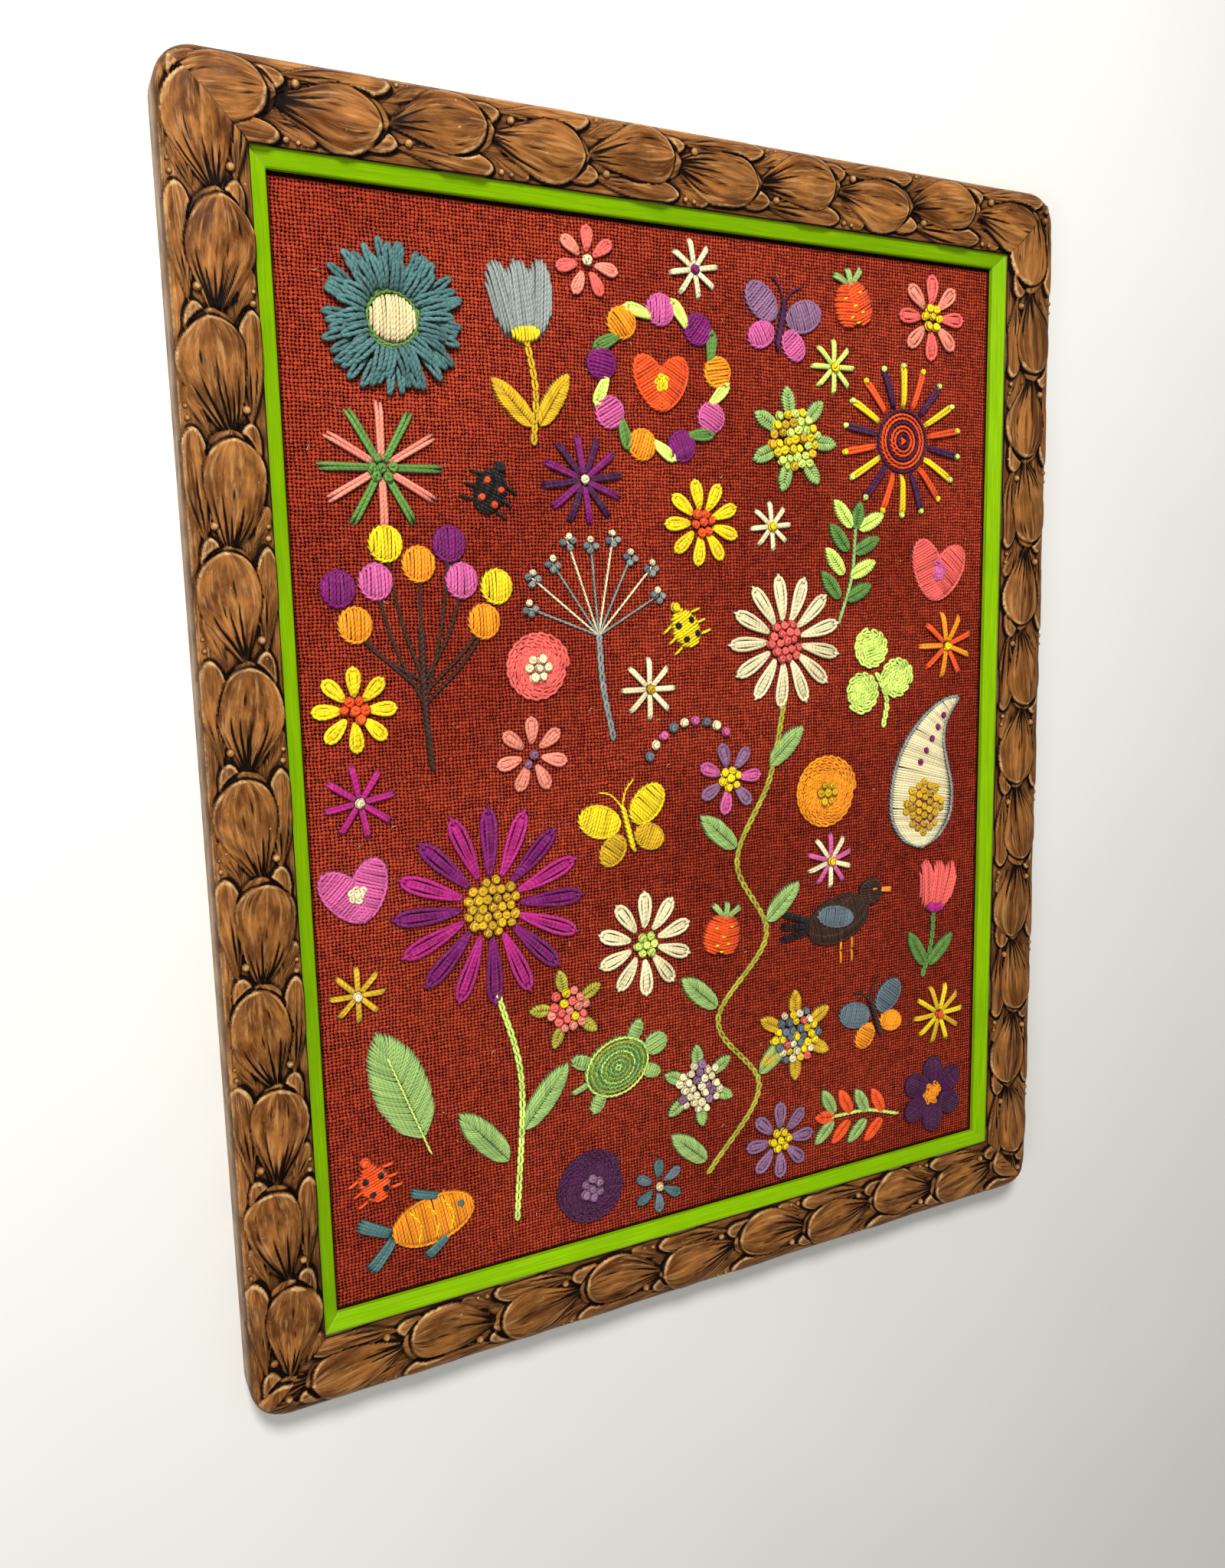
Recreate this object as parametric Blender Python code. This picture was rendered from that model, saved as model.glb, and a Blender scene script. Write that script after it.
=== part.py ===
"""Framed embroidery: a carved wooden frame with a green slip round a stretched, embroidered cloth.

The object lies on its back. X is its width, Y its height with the picture's top at +Y, and +Z comes
out of the picture. The origin is the middle of the back. Sizes here are millimetres, and MM turns them
into Blender's metres when a mesh is made.
"""

import math
from collections import namedtuple

import bpy
from mathutils.geometry import delaunay_2d_cdt

MM = 0.001
GAP = 0.3  # left between neighbouring pieces
MITRE_SHIFT = GAP / 2 * math.sqrt(2.0)  # along a side, from the true mitre to its cut end

# Opening between the mouldings, which is also the slip's outer rectangle
SIGHT_WIDTH = 549.0
SIGHT_HEIGHT = 698.0

# Wooden moulding: heights are above the back
MOULDING_WIDTH = 47.0
CORNER_RADIUS = 24.0
CROWN_HEIGHT = 26.2  # of the ground that the leaves stand on
CROWN_PLACE = 22.0  # across the width, from the opening
CROWN_FALL = 2.3  # at CROWN_SPAN from the crown
CROWN_SPAN = 25.0
SHOULDER_WIDTH = 9.0  # rounded outer edge
SHOULDER_FALL = 6.5
RIM_LINE = 2.2  # in from the outer edge, where the shoulder has an edge of its own
REBATE_WIDTH = 6.3
LIP_UNDERSIDE = 22.1

# Slip: a sloping strip that shows inside the opening and hides its tail in the rebate
SLIP_WIDTH = 9.3
SLIP_OUTER_HEIGHT = LIP_UNDERSIDE - GAP
SLIP_INNER_HEIGHT = 18.1
SLIP_BACK = 14.3
SLIP_EASE = 0.7  # its softened edges
SLIP_TAIL = REBATE_WIDTH - GAP

# Cloth, stretched flat behind the slip
CLOTH_TOP = SLIP_BACK - GAP
CLOTH_THICKNESS = 1.8
CLOTH_TAIL = 5.7  # past the opening, inside the rebate

# The carved run repeats after two main leaves
REPEAT = 125.4
MAIN_RING_POINTS = 12  # round a main leaf's outline
SMALL_RING_POINTS = 8  # round a half-hidden leaf's
SMALL_LEAF = 10.0  # the half width under which a leaf has a ridge and no inner ring
FULLEST_AT = 0.64  # of a leaf's length, where it is widest
INNER_SHARE = 0.92  # of the leaf's half width, where its face begins
INNER_ENDS = (0.05, 0.975)  # of its length
EDGE_FALL = 0.7  # from a leaf's middle to its rim
FULL_LIFT_AT = 0.8  # of a leaf's length
RIDGE_AT = (0.45, 0.82)  # of its length, where its middle has a point
MITRE_CLEAR = 1.0  # from the mitre and the opening to the nearest leaf point or berry

# A leaf, in a run's own lengths: along is with the tips, across is outward from the opening
Leaf = namedtuple("Leaf", "base_along base_across tip_along tip_across half_width bow base_lift tip_lift")
LEAVES = (
    Leaf(0.0, 25.0, 66.0, 18.0, 18.0, -1.5, 0.7, 2.8),  # main leaf, leaning inward
    Leaf(62.7, 19.0, 129.0, 28.0, 18.0, 2.0, 0.7, 2.8),  # main leaf, leaning outward
    Leaf(34.0, 12.0, 75.0, 9.0, 6.5, 0.0, 0.3, 1.6),  # rim of a leaf under the first
    Leaf(96.0, 32.0, 137.5, 35.0, 6.5, 0.0, 0.3, 1.6),  # rim of a leaf under the second
    Leaf(6.0, 37.0, 71.0, 41.0, 8.0, 0.0, 0.4, 1.9),  # half-hidden leaf by the outer edge
    Leaf(69.0, 9.0, 133.0, 5.0, 7.5, 0.0, 0.4, 1.9),  # half-hidden leaf by the opening
)
Berry = namedtuple("Berry", "along across radius")
BERRIES = (
    Berry(80.5, 11.0, 2.5),
    Berry(143.5, 32.5, 2.5),
    Berry(75.5, 43.0, 1.8),
    Berry(137.0, 3.6, 1.8),
)
BERRY_POINTS = 5  # round its foot
BERRY_LIFT = 1.15  # of its radius

# Each side of the frame: its length, where its run begins on the opening, which way the run goes and
# which way is outward, and how far along the first repeat starts
Side = namedtuple("Side", "name length start_x start_y along_x along_y phase")
SIDES = (
    Side("left", SIGHT_HEIGHT, -SIGHT_WIDTH / 2, -SIGHT_HEIGHT / 2, 0, 1, -24.0),
    Side("top", SIGHT_WIDTH, -SIGHT_WIDTH / 2, SIGHT_HEIGHT / 2, 1, 0, 8.0),
    Side("right", SIGHT_HEIGHT, SIGHT_WIDTH / 2, SIGHT_HEIGHT / 2, 0, -1, 81.5),
    Side("bottom", SIGHT_WIDTH, SIGHT_WIDTH / 2, -SIGHT_HEIGHT / 2, -1, 0, 54.5),
)

# Embroidery: one row for each motif, in millimetres from the cloth's middle. Size is its longest side.
Motif = namedtuple("Motif", "kind x y size turn count")
MOTIFS = (
    Motif("loops", -197, 267, 84, 0, 11),
    Motif("tulip", -112, 254, 108, 6, 3),
    Motif("wreath", -18, 243, 110, 0, 9),
    Motif("butterfly", 76, 286, 68, -12, 2),
    Motif("strawberry", 138, 304, 44, 15, 2),
    Motif("daisy", 209, 300, 58, 0, 8),
    Motif("posy", 87, 209, 70, 10, 7),
    Motif("burst", 184, 212, 108, 0, 18),
    Motif("star", -208, 182, 76, 0, 12),
    Motif("beetle", -139, 172, 42, -25, 3),
    Motif("umbel", -68, 82, 146, 4, 9),
    Motif("daisy", 12, 152, 56, 12, 9),
    Motif("star", 68, 150, 34, 5, 8),
    Motif("sprig", 136, 124, 86, -12, 4),
    Motif("heart", 219, 118, 50, -8, 2),
    Motif("branch", -188, 72, 142, 0, 9),
    Motif("daisy", -118, 4, 48, 0, 7),
    Motif("daisy", 80, 70, 92, 8, 13),
    Motif("clover", 162, 44, 72, 14, 3),
    Motif("beetle", -3, 84, 42, 30, 3),
    Motif("paisley", 207, -36, 124, 0, 5),
    Motif("vine", 38, -143, 345, 0, 6),
    Motif("arc", -2, 6, 66, 12, 9),
    Motif("daisy", -150, -92, 128, 0, 16),
    Motif("butterfly", -50, -50, 72, 14, 2),
    Motif("spiral", 116, -42, 54, 0, 3),
    Motif("star", -232, -16, 46, 10, 8),
    Motif("daisy", -38, -134, 72, 0, 10),
    Motif("bird", 128, -140, 104, 0, 3),
    Motif("tulip", 220, -152, 92, -8, 3),
    Motif("stalk", -140, -230, 160, 0, 2),
    Motif("broad_leaf", -214, -206, 92, 20, 2),
    Motif("star", -240, -136, 36, 0, 8),
    Motif("turtle", -62, -218, 82, 20, 4),
    Motif("posy", 88, -224, 68, 0, 6),
    Motif("butterfly", 163, -222, 66, 18, 2),
    Motif("star", 228, -232, 50, 20, 10),
    Motif("fish", -205, -296, 86, 10, 2),
    Motif("spiral", -84, -302, 52, 30, 3),
    Motif("daisy", 74, -304, 58, 0, 8),
    Motif("sprig", 148, -301, 80, 80, 4),
    Motif("rosette", 223, -299, 62, 0, 6),
    Motif("posy", 4, -246, 60, 4, 6),
    Motif("star", -76, 178, 58, 8, 12),
    Motif("posy", -98, -170, 54, 12, 5),
    Motif("daisy", -232, 40, 50, 0, 8),
    Motif("star", 229, 62, 52, 10, 9),
    Motif("spiral", -112, 60, 44, 0, 3),
    Motif("daisy", 32, -24, 50, 15, 7),
    Motif("strawberry", 25, -136, 42, -10, 2),
    Motif("star", -31, 42, 42, 0, 8),
    Motif("beetle", -237, -258, 40, 20, 3),
    Motif("heart", -237, -72, 42, 12, 2),
    Motif("star", 120, -94, 42, 0, 10),
    Motif("daisy", -70, 311, 42, 0, 7),
    Motif("star", 121, 260, 38, 0, 8),
    Motif("daisy", -31, -314, 38, 0, 6),
    Motif("star", 8, 314, 38, 10, 8),
    Motif("heart", -18, 241, 40, 0, 2),
)
PETAL_LIFT = 2.4
KNOT_LIFT = 3.4
STEM_LIFT = 1.8
LOOP_LIFT = 5.0
# A raised form's outline and ridge: how many points round it, and where along its middle its top is,
# for forms up to each width
Facets = namedtuple("Facets", "widest points ridge")
FACETS = (Facets(7.0, 4, (0.0,)), Facets(14.0, 6, (0.0,)), Facets(math.inf, 8, (-0.4, 0.4)))
STEM_WIDTH = 4.5
STEM_CORE = 0.85  # share of a stem's width that is raised
FINE_WIDTH = 2.6  # of a single strand
FINE_LIFT = 1.3
SHORT_STEM = 30.0  # from end to end, and left as straight stretches
LONG_STEM = 4  # a stem of more points than this is drawn in shorter steps

# A raised form on the cloth: its middle, full length and width, the turn of its length, and its height
Oval = namedtuple("Oval", "x y length width turn lift")
Stem = namedtuple("Stem", "points width lift")


def clear_scene():
    for thing in list(bpy.data.objects):
        bpy.data.objects.remove(thing, do_unlink=True)


def painted(name, colour, roughness):
    material = bpy.data.materials.new(name)
    material.use_nodes = True
    shader = material.node_tree.nodes["Principled BSDF"]
    shader.inputs["Base Color"].default_value = (*colour, 1.0)
    shader.inputs["Roughness"].default_value = roughness
    shader.inputs["Metallic"].default_value = 0.0
    return material


def mesh_object(name, points, faces, material):
    """One closed mesh from points in millimetres."""
    mesh = bpy.data.meshes.new(name)
    mesh.from_pydata([[value * MM for value in point] for point in points], [], faces)
    mesh.materials.append(material)
    mesh.validate()
    mesh.update()
    thing = bpy.data.objects.new(name, mesh)
    bpy.context.scene.collection.objects.link(thing)
    return thing


def circle(x, y, radius, count):
    steps = (math.tau * i / count for i in range(count))
    return [(x + radius * math.cos(a), y + radius * math.sin(a)) for a in steps]


def triangulated(outline, rings, lines, spots):
    """Flat triangles inside an outline that keep every ring, line and spot as edges and corners."""
    points = []
    faces = []
    edges = []
    inside_only = 1
    same_place = 1e-4
    for ring in [outline] + rings:
        faces.append(list(range(len(points), len(points) + len(ring))))
        points += ring
    for line in lines:
        first = len(points)
        edges += [(i, i + 1) for i in range(first, first + len(line) - 1)]
        points += line
    points += spots
    flat = [tuple(p) for p in points]
    made = delaunay_2d_cdt(flat, edges, faces, inside_only, same_place, True)
    corners, triangles, sources = made[0], made[2], made[5]
    kept = [face for face, source in zip(triangles, sources) if 0 in source]
    used = sorted({i for face in kept for i in face})
    number = {old: new for new, old in enumerate(used)}
    flat = [(corners[i][0], corners[i][1]) for i in used]
    return flat, [[number[i] for i in face] for face in kept]


# Carved mouldings


def leaf_fullness(t):
    """A leaf's half width at t of its length, as a share of its widest."""
    if t <= FULLEST_AT:
        return math.sin(math.pi / 2 * (max(t, 0.0) / FULLEST_AT) ** 1.2)
    return max(0.0, 1.0 - ((t - FULLEST_AT) / (1.0 - FULLEST_AT)) ** 2.4) ** 0.55


def leaf_point(leaf, t, share):
    """The point at t along the leaf and at a share of its half width to the left."""
    run = leaf.tip_along - leaf.base_along
    rise = leaf.tip_across - leaf.base_across
    length = math.hypot(run, rise)
    side = share * leaf.half_width * leaf_fullness(t) + 4.0 * leaf.bow * t * (1.0 - t)
    return (
        leaf.base_along + run * t - rise / length * side,
        leaf.base_across + rise * t + run / length * side,
    )


def leaf_place(leaf, along, across):
    """(t, share) of a point on a leaf, the reverse of leaf_point."""
    run = leaf.tip_along - leaf.base_along
    rise = leaf.tip_across - leaf.base_across
    length = math.hypot(run, rise)
    from_base = (along - leaf.base_along, across - leaf.base_across)
    t = (from_base[0] * run + from_base[1] * rise) / length**2
    side = (from_base[1] * run - from_base[0] * rise) / length - 4.0 * leaf.bow * t * (1.0 - t)
    half = leaf.half_width * leaf_fullness(t) if 0.0 < t < 1.0 else 0.0
    return t, side / half if half > 0.0 else math.inf


def leaf_ring(leaf, share=1.0, ends=(0.0, 1.0)):
    """The leaf's outline, or its inner edge at a share of its width, with more points near the tip."""
    steps = (SMALL_RING_POINTS if leaf.half_width < SMALL_LEAF else MAIN_RING_POINTS) // 2
    base, tip = ends
    ts = [base + (tip - base) * math.sin(math.pi / 2 * i / steps) for i in range(steps + 1)]
    right = [leaf_point(leaf, t, -share) for t in ts]
    left = [leaf_point(leaf, t, share) for t in ts[-2:0:-1]]
    return right + left


def leaf_lift(leaf, t, share):
    rise = leaf.base_lift + (leaf.tip_lift - leaf.base_lift) * min(1.0, t / FULL_LIFT_AT)
    return rise - EDGE_FALL * share**2


def moved(form, distance):
    """A leaf or berry further along the run."""
    if isinstance(form, Leaf):
        return form._replace(
            base_along=form.base_along + distance, tip_along=form.tip_along + distance
        )
    return form._replace(along=form.along + distance)


def run_of(forms, side):
    """Every copy of each form that reaches the side."""
    last = int(side.length / REPEAT) + 2
    return [moved(form, side.phase + i * REPEAT) for form in forms for i in range(-2, last)]


def hiding_order(leaf):
    """Main leaves lie over half-hidden ones, and each tip lies over the leaf after it."""
    return leaf.half_width < SMALL_LEAF, leaf.base_along


def rim_distance(side, along, across):
    """Distance in plan from the frame's rounded outer outline."""
    centre_across = MOULDING_WIDTH - CORNER_RADIUS
    past = max(-centre_across - along, along - side.length - centre_across)
    if past > 0.0 and across > centre_across:
        return CORNER_RADIUS - math.hypot(past, across - centre_across)
    return MOULDING_WIDTH - across


def ground_height(side, along, across):
    """Height of the moulding's face under the leaves."""
    crown = CROWN_HEIGHT - CROWN_FALL * ((across - CROWN_PLACE) / CROWN_SPAN) ** 2
    into = 1.0 - min(1.0, max(0.0, rim_distance(side, along, across)) / SHOULDER_WIDTH)
    return crown - SHOULDER_FALL * (1.0 - math.sqrt(1.0 - into**2))


def carved_height(side, leaves, berries, along, across):
    lift = 0.0
    for leaf in leaves:
        t, share = leaf_place(leaf, along, across)
        if INNER_ENDS[0] / 2 < t < 0.5 + INNER_ENDS[1] / 2 and abs(share) < 0.5 + INNER_SHARE / 2:
            lift = leaf_lift(leaf, t, share)
            break
    for berry in berries:
        off = math.hypot(along - berry.along, across - berry.across)
        if off < berry.radius / 2:
            lift = max(lift, BERRY_LIFT * berry.radius)
    fade = min(1.0, max(0.0, rim_distance(side, along, across)) / SHOULDER_WIDTH)
    return ground_height(side, along, across) + lift * fade


def rim_line(side, inset):
    """The outer outline of one moulding from mitre to mitre, drawn in by the inset."""
    centre = MOULDING_WIDTH - CORNER_RADIUS
    radius = CORNER_RADIUS - inset
    angles = [math.radians(90.0 + 15.0 * i) for i in range(4)]
    arc = [(radius * math.cos(a), radius * math.sin(a)) for a in angles]
    near = [(-centre + x, centre + y) for x, y in arc]
    far = [(side.length + centre - x, centre + y) for x, y in arc]
    return far[::-1] + near


def inside_mitres(side, point):
    along, across = point
    room = min(across, along + across, side.length + across - along)
    return room > MITRE_CLEAR


def moulding(side, material):
    """One mitred length of the frame: carved face, plain outer side, flat back and rebate."""
    leaves = sorted(run_of(LEAVES, side), key=hiding_order)
    berries = [b for b in run_of(BERRIES, side) if inside_mitres(side, (b.along, b.across))]

    outer = rim_line(side, 0.0)
    outer[0] = (outer[0][0] - MITRE_SHIFT, outer[0][1])
    outer[-1] = (outer[-1][0] + MITRE_SHIFT, outer[-1][1])
    outline = [(MITRE_SHIFT, 0.0), (side.length - MITRE_SHIFT, 0.0)] + outer
    rings = [leaf_ring(leaf) for leaf in leaves]
    rings += [leaf_ring(leaf, INNER_SHARE, INNER_ENDS) for leaf in leaves if leaf.half_width > SMALL_LEAF]
    rings = [ring for ring in rings if any(inside_mitres(side, p) for p in ring)]
    rings += [circle(b.along, b.across, b.radius, BERRY_POINTS) for b in berries]
    shoulder = MOULDING_WIDTH - SHOULDER_WIDTH
    lines = [rim_line(side, RIM_LINE), [(-shoulder, shoulder), (side.length + shoulder, shoulder)]]
    spots = [leaf_point(leaf, t, 0.0) for leaf in leaves for t in RIDGE_AT]
    spots = [p for p in spots if inside_mitres(side, p)] + [(b.along, b.across) for b in berries]
    flat, faces = triangulated(outline, rings, lines, spots)
    top = [(s, w, carved_height(side, leaves, berries, s, w)) for s, w in flat]

    points, faces = closed_moulding(side, top, faces)
    placed = [on_side(side, *point) for point in points]
    return mesh_object("frame_" + side.name, placed, faces, material)


def closed_moulding(side, top, faces):
    """The carved face closed with the outer side, the mitred ends, the back and the rebate."""
    points = list(top)
    near_zero = 1e-3

    def add(along, across, height):
        points.append((along, across, height))
        return len(points) - 1

    edges = {(a, b) for face in faces for a, b in zip(face, face[1:] + face[:1])}
    borders = {a: b for a, b in edges if (b, a) not in edges}
    start = min(borders, key=lambda i: (top[i][1] > near_zero, top[i][0]))
    loop = [start]
    while borders[loop[-1]] != start:
        loop.append(borders[loop[-1]])

    def on_mitre(i):
        along, across, _ = top[i]
        off = min(along + across, side.length + across - along) - MITRE_SHIFT
        return abs(off) < near_zero

    inner = [i for i in loop if top[i][1] < near_zero]
    middle = side.length / 2
    outer = [i for i in loop if not on_mitre(i) and top[i][1] >= near_zero]
    end_mitre = [i for i in loop if on_mitre(i) and top[i][0] > middle]
    start_mitre = [i for i in loop if on_mitre(i) and top[i][0] < middle]
    end_mitre.sort(key=lambda i: top[i][1])
    start_mitre.sort(key=lambda i: top[i][1])
    outer = [end_mitre[-1]] + outer + [start_mitre[-1]]

    at_start = {}
    at_end = {}
    corners = {
        "lip": (0.0, LIP_UNDERSIDE),
        "root": (REBATE_WIDTH, LIP_UNDERSIDE),
        "heel": (REBATE_WIDTH, 0.0),
    }
    for name, (across, height) in corners.items():
        at_start[name] = add(MITRE_SHIFT - across, across, height)
        at_end[name] = add(side.length - MITRE_SHIFT + across, across, height)
    foot = [add(top[i][0], top[i][1], 0.0) for i in outer]

    faces = list(faces)
    faces.append(inner[::-1] + [at_start["lip"], at_end["lip"]])
    faces.append([at_start["lip"], at_start["root"], at_end["root"], at_end["lip"]])
    faces.append([at_start["root"], at_start["heel"], at_end["heel"], at_end["root"]])
    faces.append([at_start["heel"]] + foot[::-1] + [at_end["heel"]])
    faces += [[outer[i + 1], outer[i], foot[i], foot[i + 1]] for i in range(len(outer) - 1)]
    faces.append([at_end["lip"], at_end["root"], at_end["heel"], foot[0]] + end_mitre[::-1])
    faces.append(start_mitre + [foot[-1], at_start["heel"], at_start["root"], at_start["lip"]])
    return points, faces


def on_side(side, along, across, height):
    """A point of one side's own run, in the picture's X, Y and Z."""
    out_x, out_y = -side.along_y, side.along_x
    return (
        side.start_x + side.along_x * along + out_x * across,
        side.start_y + side.along_y * along + out_y * across,
        height,
    )


# Slip


def slip(side, material):
    """One mitred strip: a sloping green face, and a flat tail in the rebate."""
    section = (
        (-SLIP_WIDTH, SLIP_BACK),
        (SLIP_TAIL, SLIP_BACK),
        (SLIP_TAIL, SLIP_OUTER_HEIGHT),
        (-SLIP_EASE, SLIP_OUTER_HEIGHT),
        (-SLIP_WIDTH + SLIP_EASE, SLIP_INNER_HEIGHT),
        (-SLIP_WIDTH, SLIP_INNER_HEIGHT - SLIP_EASE),
    )
    first = [(MITRE_SHIFT - across, across, height) for across, height in section]
    last = [(side.length - MITRE_SHIFT + across, across, height) for across, height in section]
    placed = [on_side(side, *point) for point in first + last]
    count = len(section)
    faces = [[i, (i + 1) % count, (i + 1) % count + count, i + count] for i in range(count)]
    faces += [list(range(count))[::-1], list(range(count, 2 * count))]
    return mesh_object("slip_" + side.name, placed, faces, material)


# Embroidery. A motif's forms are drawn in shares of its size, and put in their place afterwards.


def petals(count, radius, length, width, lift, turn=90.0):
    """Ovals set round a middle, pointing outward."""
    made = []
    for i in range(count):
        angle = turn + 360.0 * i / count
        x, y = polar(radius, angle)
        made.append(Oval(x, y, length, width, angle, lift))
    return made


def polar(radius, angle):
    return radius * math.cos(math.radians(angle)), radius * math.sin(math.radians(angle))


def middle(width):
    return Oval(0, 0, width, width, 0, KNOT_LIFT)


def fan(count, spread):
    """Angles from one side of straight up to the other."""
    return [90 + spread * (2 * i / (count - 1) - 1) for i in range(count)]


def daisy(count):
    return petals(count, 0.33, 0.34, min(1.86 / count, 0.24), PETAL_LIFT) + [middle(0.3)]


def rosette(count):
    return petals(count, 0.32, 0.36, 0.3, PETAL_LIFT) + [middle(0.3)]


def burst(count):
    return petals(count, 0.36, 0.28, 0.07, PETAL_LIFT) + [middle(0.42)]


def star(count):
    return petals(count, 0.27, 0.46, 0.1, PETAL_LIFT) + [middle(0.2)]


def posy(count):
    return petals(count, 0.38, 0.24, 0.14, PETAL_LIFT) + [middle(0.62)]


def loops(count):
    return petals(count, 0.33, 0.34, 0.2, LOOP_LIFT) + [middle(0.34)]


def spiral(count):
    return [Oval(0, 0, 1, 1, 0, 0.75 * PETAL_LIFT), middle(1 / count)]


def arc(count):
    """A bowed row of knots."""
    places = [polar(0.6, angle) for angle in fan(count, 52)]
    return [Oval(x, y - 0.42, 0.12, 0.12, 0, KNOT_LIFT) for x, y in places]


def tulip(count):
    stem = Stem([(0, 0.1), (0.02, -0.2), (-0.03, -0.5)], STEM_WIDTH, STEM_LIFT)
    cup = [Oval(0.11 * i, 0.29, 0.42, 0.17, 90 - 9 * i, PETAL_LIFT) for i in range(-1, count - 1)]
    leaves = [Oval(0.13 * way, -0.27, 0.35, 0.11, 90 - 38 * way, PETAL_LIFT) for way in (-1, 1)]
    return cup + [stem] + leaves


def sprig(count):
    made = [Stem([(0, -0.5), (0.05, -0.1), (0, 0.32)], STEM_WIDTH, STEM_LIFT)]
    made.append(Oval(0, 0.41, 0.2, 0.12, 90, PETAL_LIFT))
    for i in range(count):
        for way in (-1, 1):
            made.append(Oval(0.15 * way, -0.21 + 0.2 * i, 0.26, 0.12, 90 - 52 * way, PETAL_LIFT))
    return made


def wreath(count):
    fruit = petals(count, 0.4, 0.18, 0.18, KNOT_LIFT)
    between = petals(count, 0.4, 0.2, 0.09, PETAL_LIFT, 90.0 + 180.0 / count)
    return fruit + [leaf._replace(turn=leaf.turn + 55) for leaf in between]


def butterfly(count):
    made = [Stem([(0, -0.24), (0, 0.2)], 6.0, KNOT_LIFT)]
    for way in (-1, 1):
        made.append(Oval(0.26 * way, 0.14, 0.44, 0.3, 32 * way, PETAL_LIFT))
        made.append(Oval(0.2 * way, -0.17, 0.32, 0.24, -38 * way, PETAL_LIFT))
        feeler = [(0, 0.2), (0.08 * way, 0.34), (0.17 * way, 0.4)]
        made.append(Stem(feeler[: count + 1], FINE_WIDTH, FINE_LIFT))
    return made


def strawberry(count):
    made = [Oval(0.1 * way, 0, 0.72, 0.52, 90 + 14 * way, KNOT_LIFT) for way in (-1, 1)]
    return made + [Oval(0.16 * i, 0.4, 0.3, 0.14, 90 - 50 * i, KNOT_LIFT) for i in range(-1, count)]


def heart(count):
    return [Oval(0.17 * way, 0, 0.98, 0.54, 90 - 31 * way, PETAL_LIFT) for way in (-1, 1)[:count]]


def clover(count):
    stem = Stem([(0, 0), (0.06, -0.3), (-0.04, -0.56)], STEM_WIDTH, STEM_LIFT)
    return petals(count, 0.27, 0.42, 0.42, PETAL_LIFT) + [stem]


def beetle(count):
    made = [Oval(0, -0.06, 0.66, 0.5, 90, KNOT_LIFT), Oval(0, 0.33, 0.22, 0.24, 90, KNOT_LIFT)]
    for i in range(count):
        y = 0.14 - 0.2 * i
        made.append(Stem([(-0.4, y - 0.06), (0, y), (0.4, y - 0.06)], FINE_WIDTH, FINE_LIFT))
    return made


def umbel(count):
    """A seed head: rays that fan upward from a stem, each with a knot at its tip."""
    fork = (0, -0.02)
    made = [Stem([(0.03, -0.5), (0, -0.25), fork], STEM_WIDTH, STEM_LIFT)]
    for i, angle in enumerate(fan(count, 68)):
        x, y = polar(0.44 if i % 2 else 0.4, angle)
        tip = (0.86 * x, fork[1] + y)
        made.append(Stem([fork, tip], FINE_WIDTH, STEM_LIFT))
        made.append(Oval(*tip, 0.07, 0.07, 0, KNOT_LIFT))
    return made


def branch(count):
    """A forked twig with a round fruit at each tip."""
    made = [Stem([(0.02, -0.5), (0, -0.2), (0, 0.1)], 1.3 * STEM_WIDTH, STEM_LIFT)]
    for i, angle in enumerate(fan(count, 82)):
        x, y = polar(0.4 if i % 2 else 0.29, angle)
        root = (0, -0.22 + 0.05 * (i % 3))
        tip = (x, 0.06 + y)
        bend = (0.62 * tip[0], 0.45 * (root[1] + tip[1]))
        made.append(Stem([root, bend, tip], 0.7 * STEM_WIDTH, STEM_LIFT))
        made.append(Oval(tip[0], tip[1] + 0.03, 0.15, 0.14, 90, KNOT_LIFT))
    return made


def paisley(count):
    """A curled drop: a fat round end, a hooked tip, and a raised round inside."""
    steps = ((0.0, -0.22, 0.48), (-0.02, 0.06, 0.4), (0.05, 0.28, 0.24), (0.2, 0.43, 0.1))
    made = [Oval(x, y, 0.42, width, 82 - 14 * i, PETAL_LIFT) for i, (x, y, width) in enumerate(steps)]
    return made[:count] + [Oval(0, -0.2, 0.26, 0.2, 90, KNOT_LIFT)]


def vine(count):
    """A long wandering stem with single leaves on alternate sides."""
    reach = (-0.08, 0.05, -0.05, 0.07, 0.0, 0.08, 0.12)
    points = [(x, i / count - 0.5) for i, x in enumerate(reach)]
    made = [Stem(points, STEM_WIDTH, STEM_LIFT)]
    for i, (x, y) in enumerate(points[:count]):
        way = 1 if i % 2 else -1
        made.append(Oval(x + 0.044 * way, y + 0.068, 0.1, 0.043, 90 - 48 * way, PETAL_LIFT))
    return made


def stalk(count):
    """A flower's stem with a pair of long leaves."""
    made = [Stem([(-0.05, 0.5), (0.04, 0.1), (0.0, -0.5)], STEM_WIDTH, STEM_LIFT)]
    for way in (-1, 1)[:count]:
        made.append(Oval(0.14 * way + 0.01, -0.05 + 0.06 * way, 0.3, 0.1, 90 - 40 * way, PETAL_LIFT))
    return made


def broad_leaf(count):
    made = [Oval(0.09 * way, 0.06, 0.84, 0.26, 90 - 6 * way, PETAL_LIFT) for way in (-1, 1)[:count]]
    return made + [Stem([(0, 0.3), (0, -0.5)], FINE_WIDTH, KNOT_LIFT)]


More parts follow.
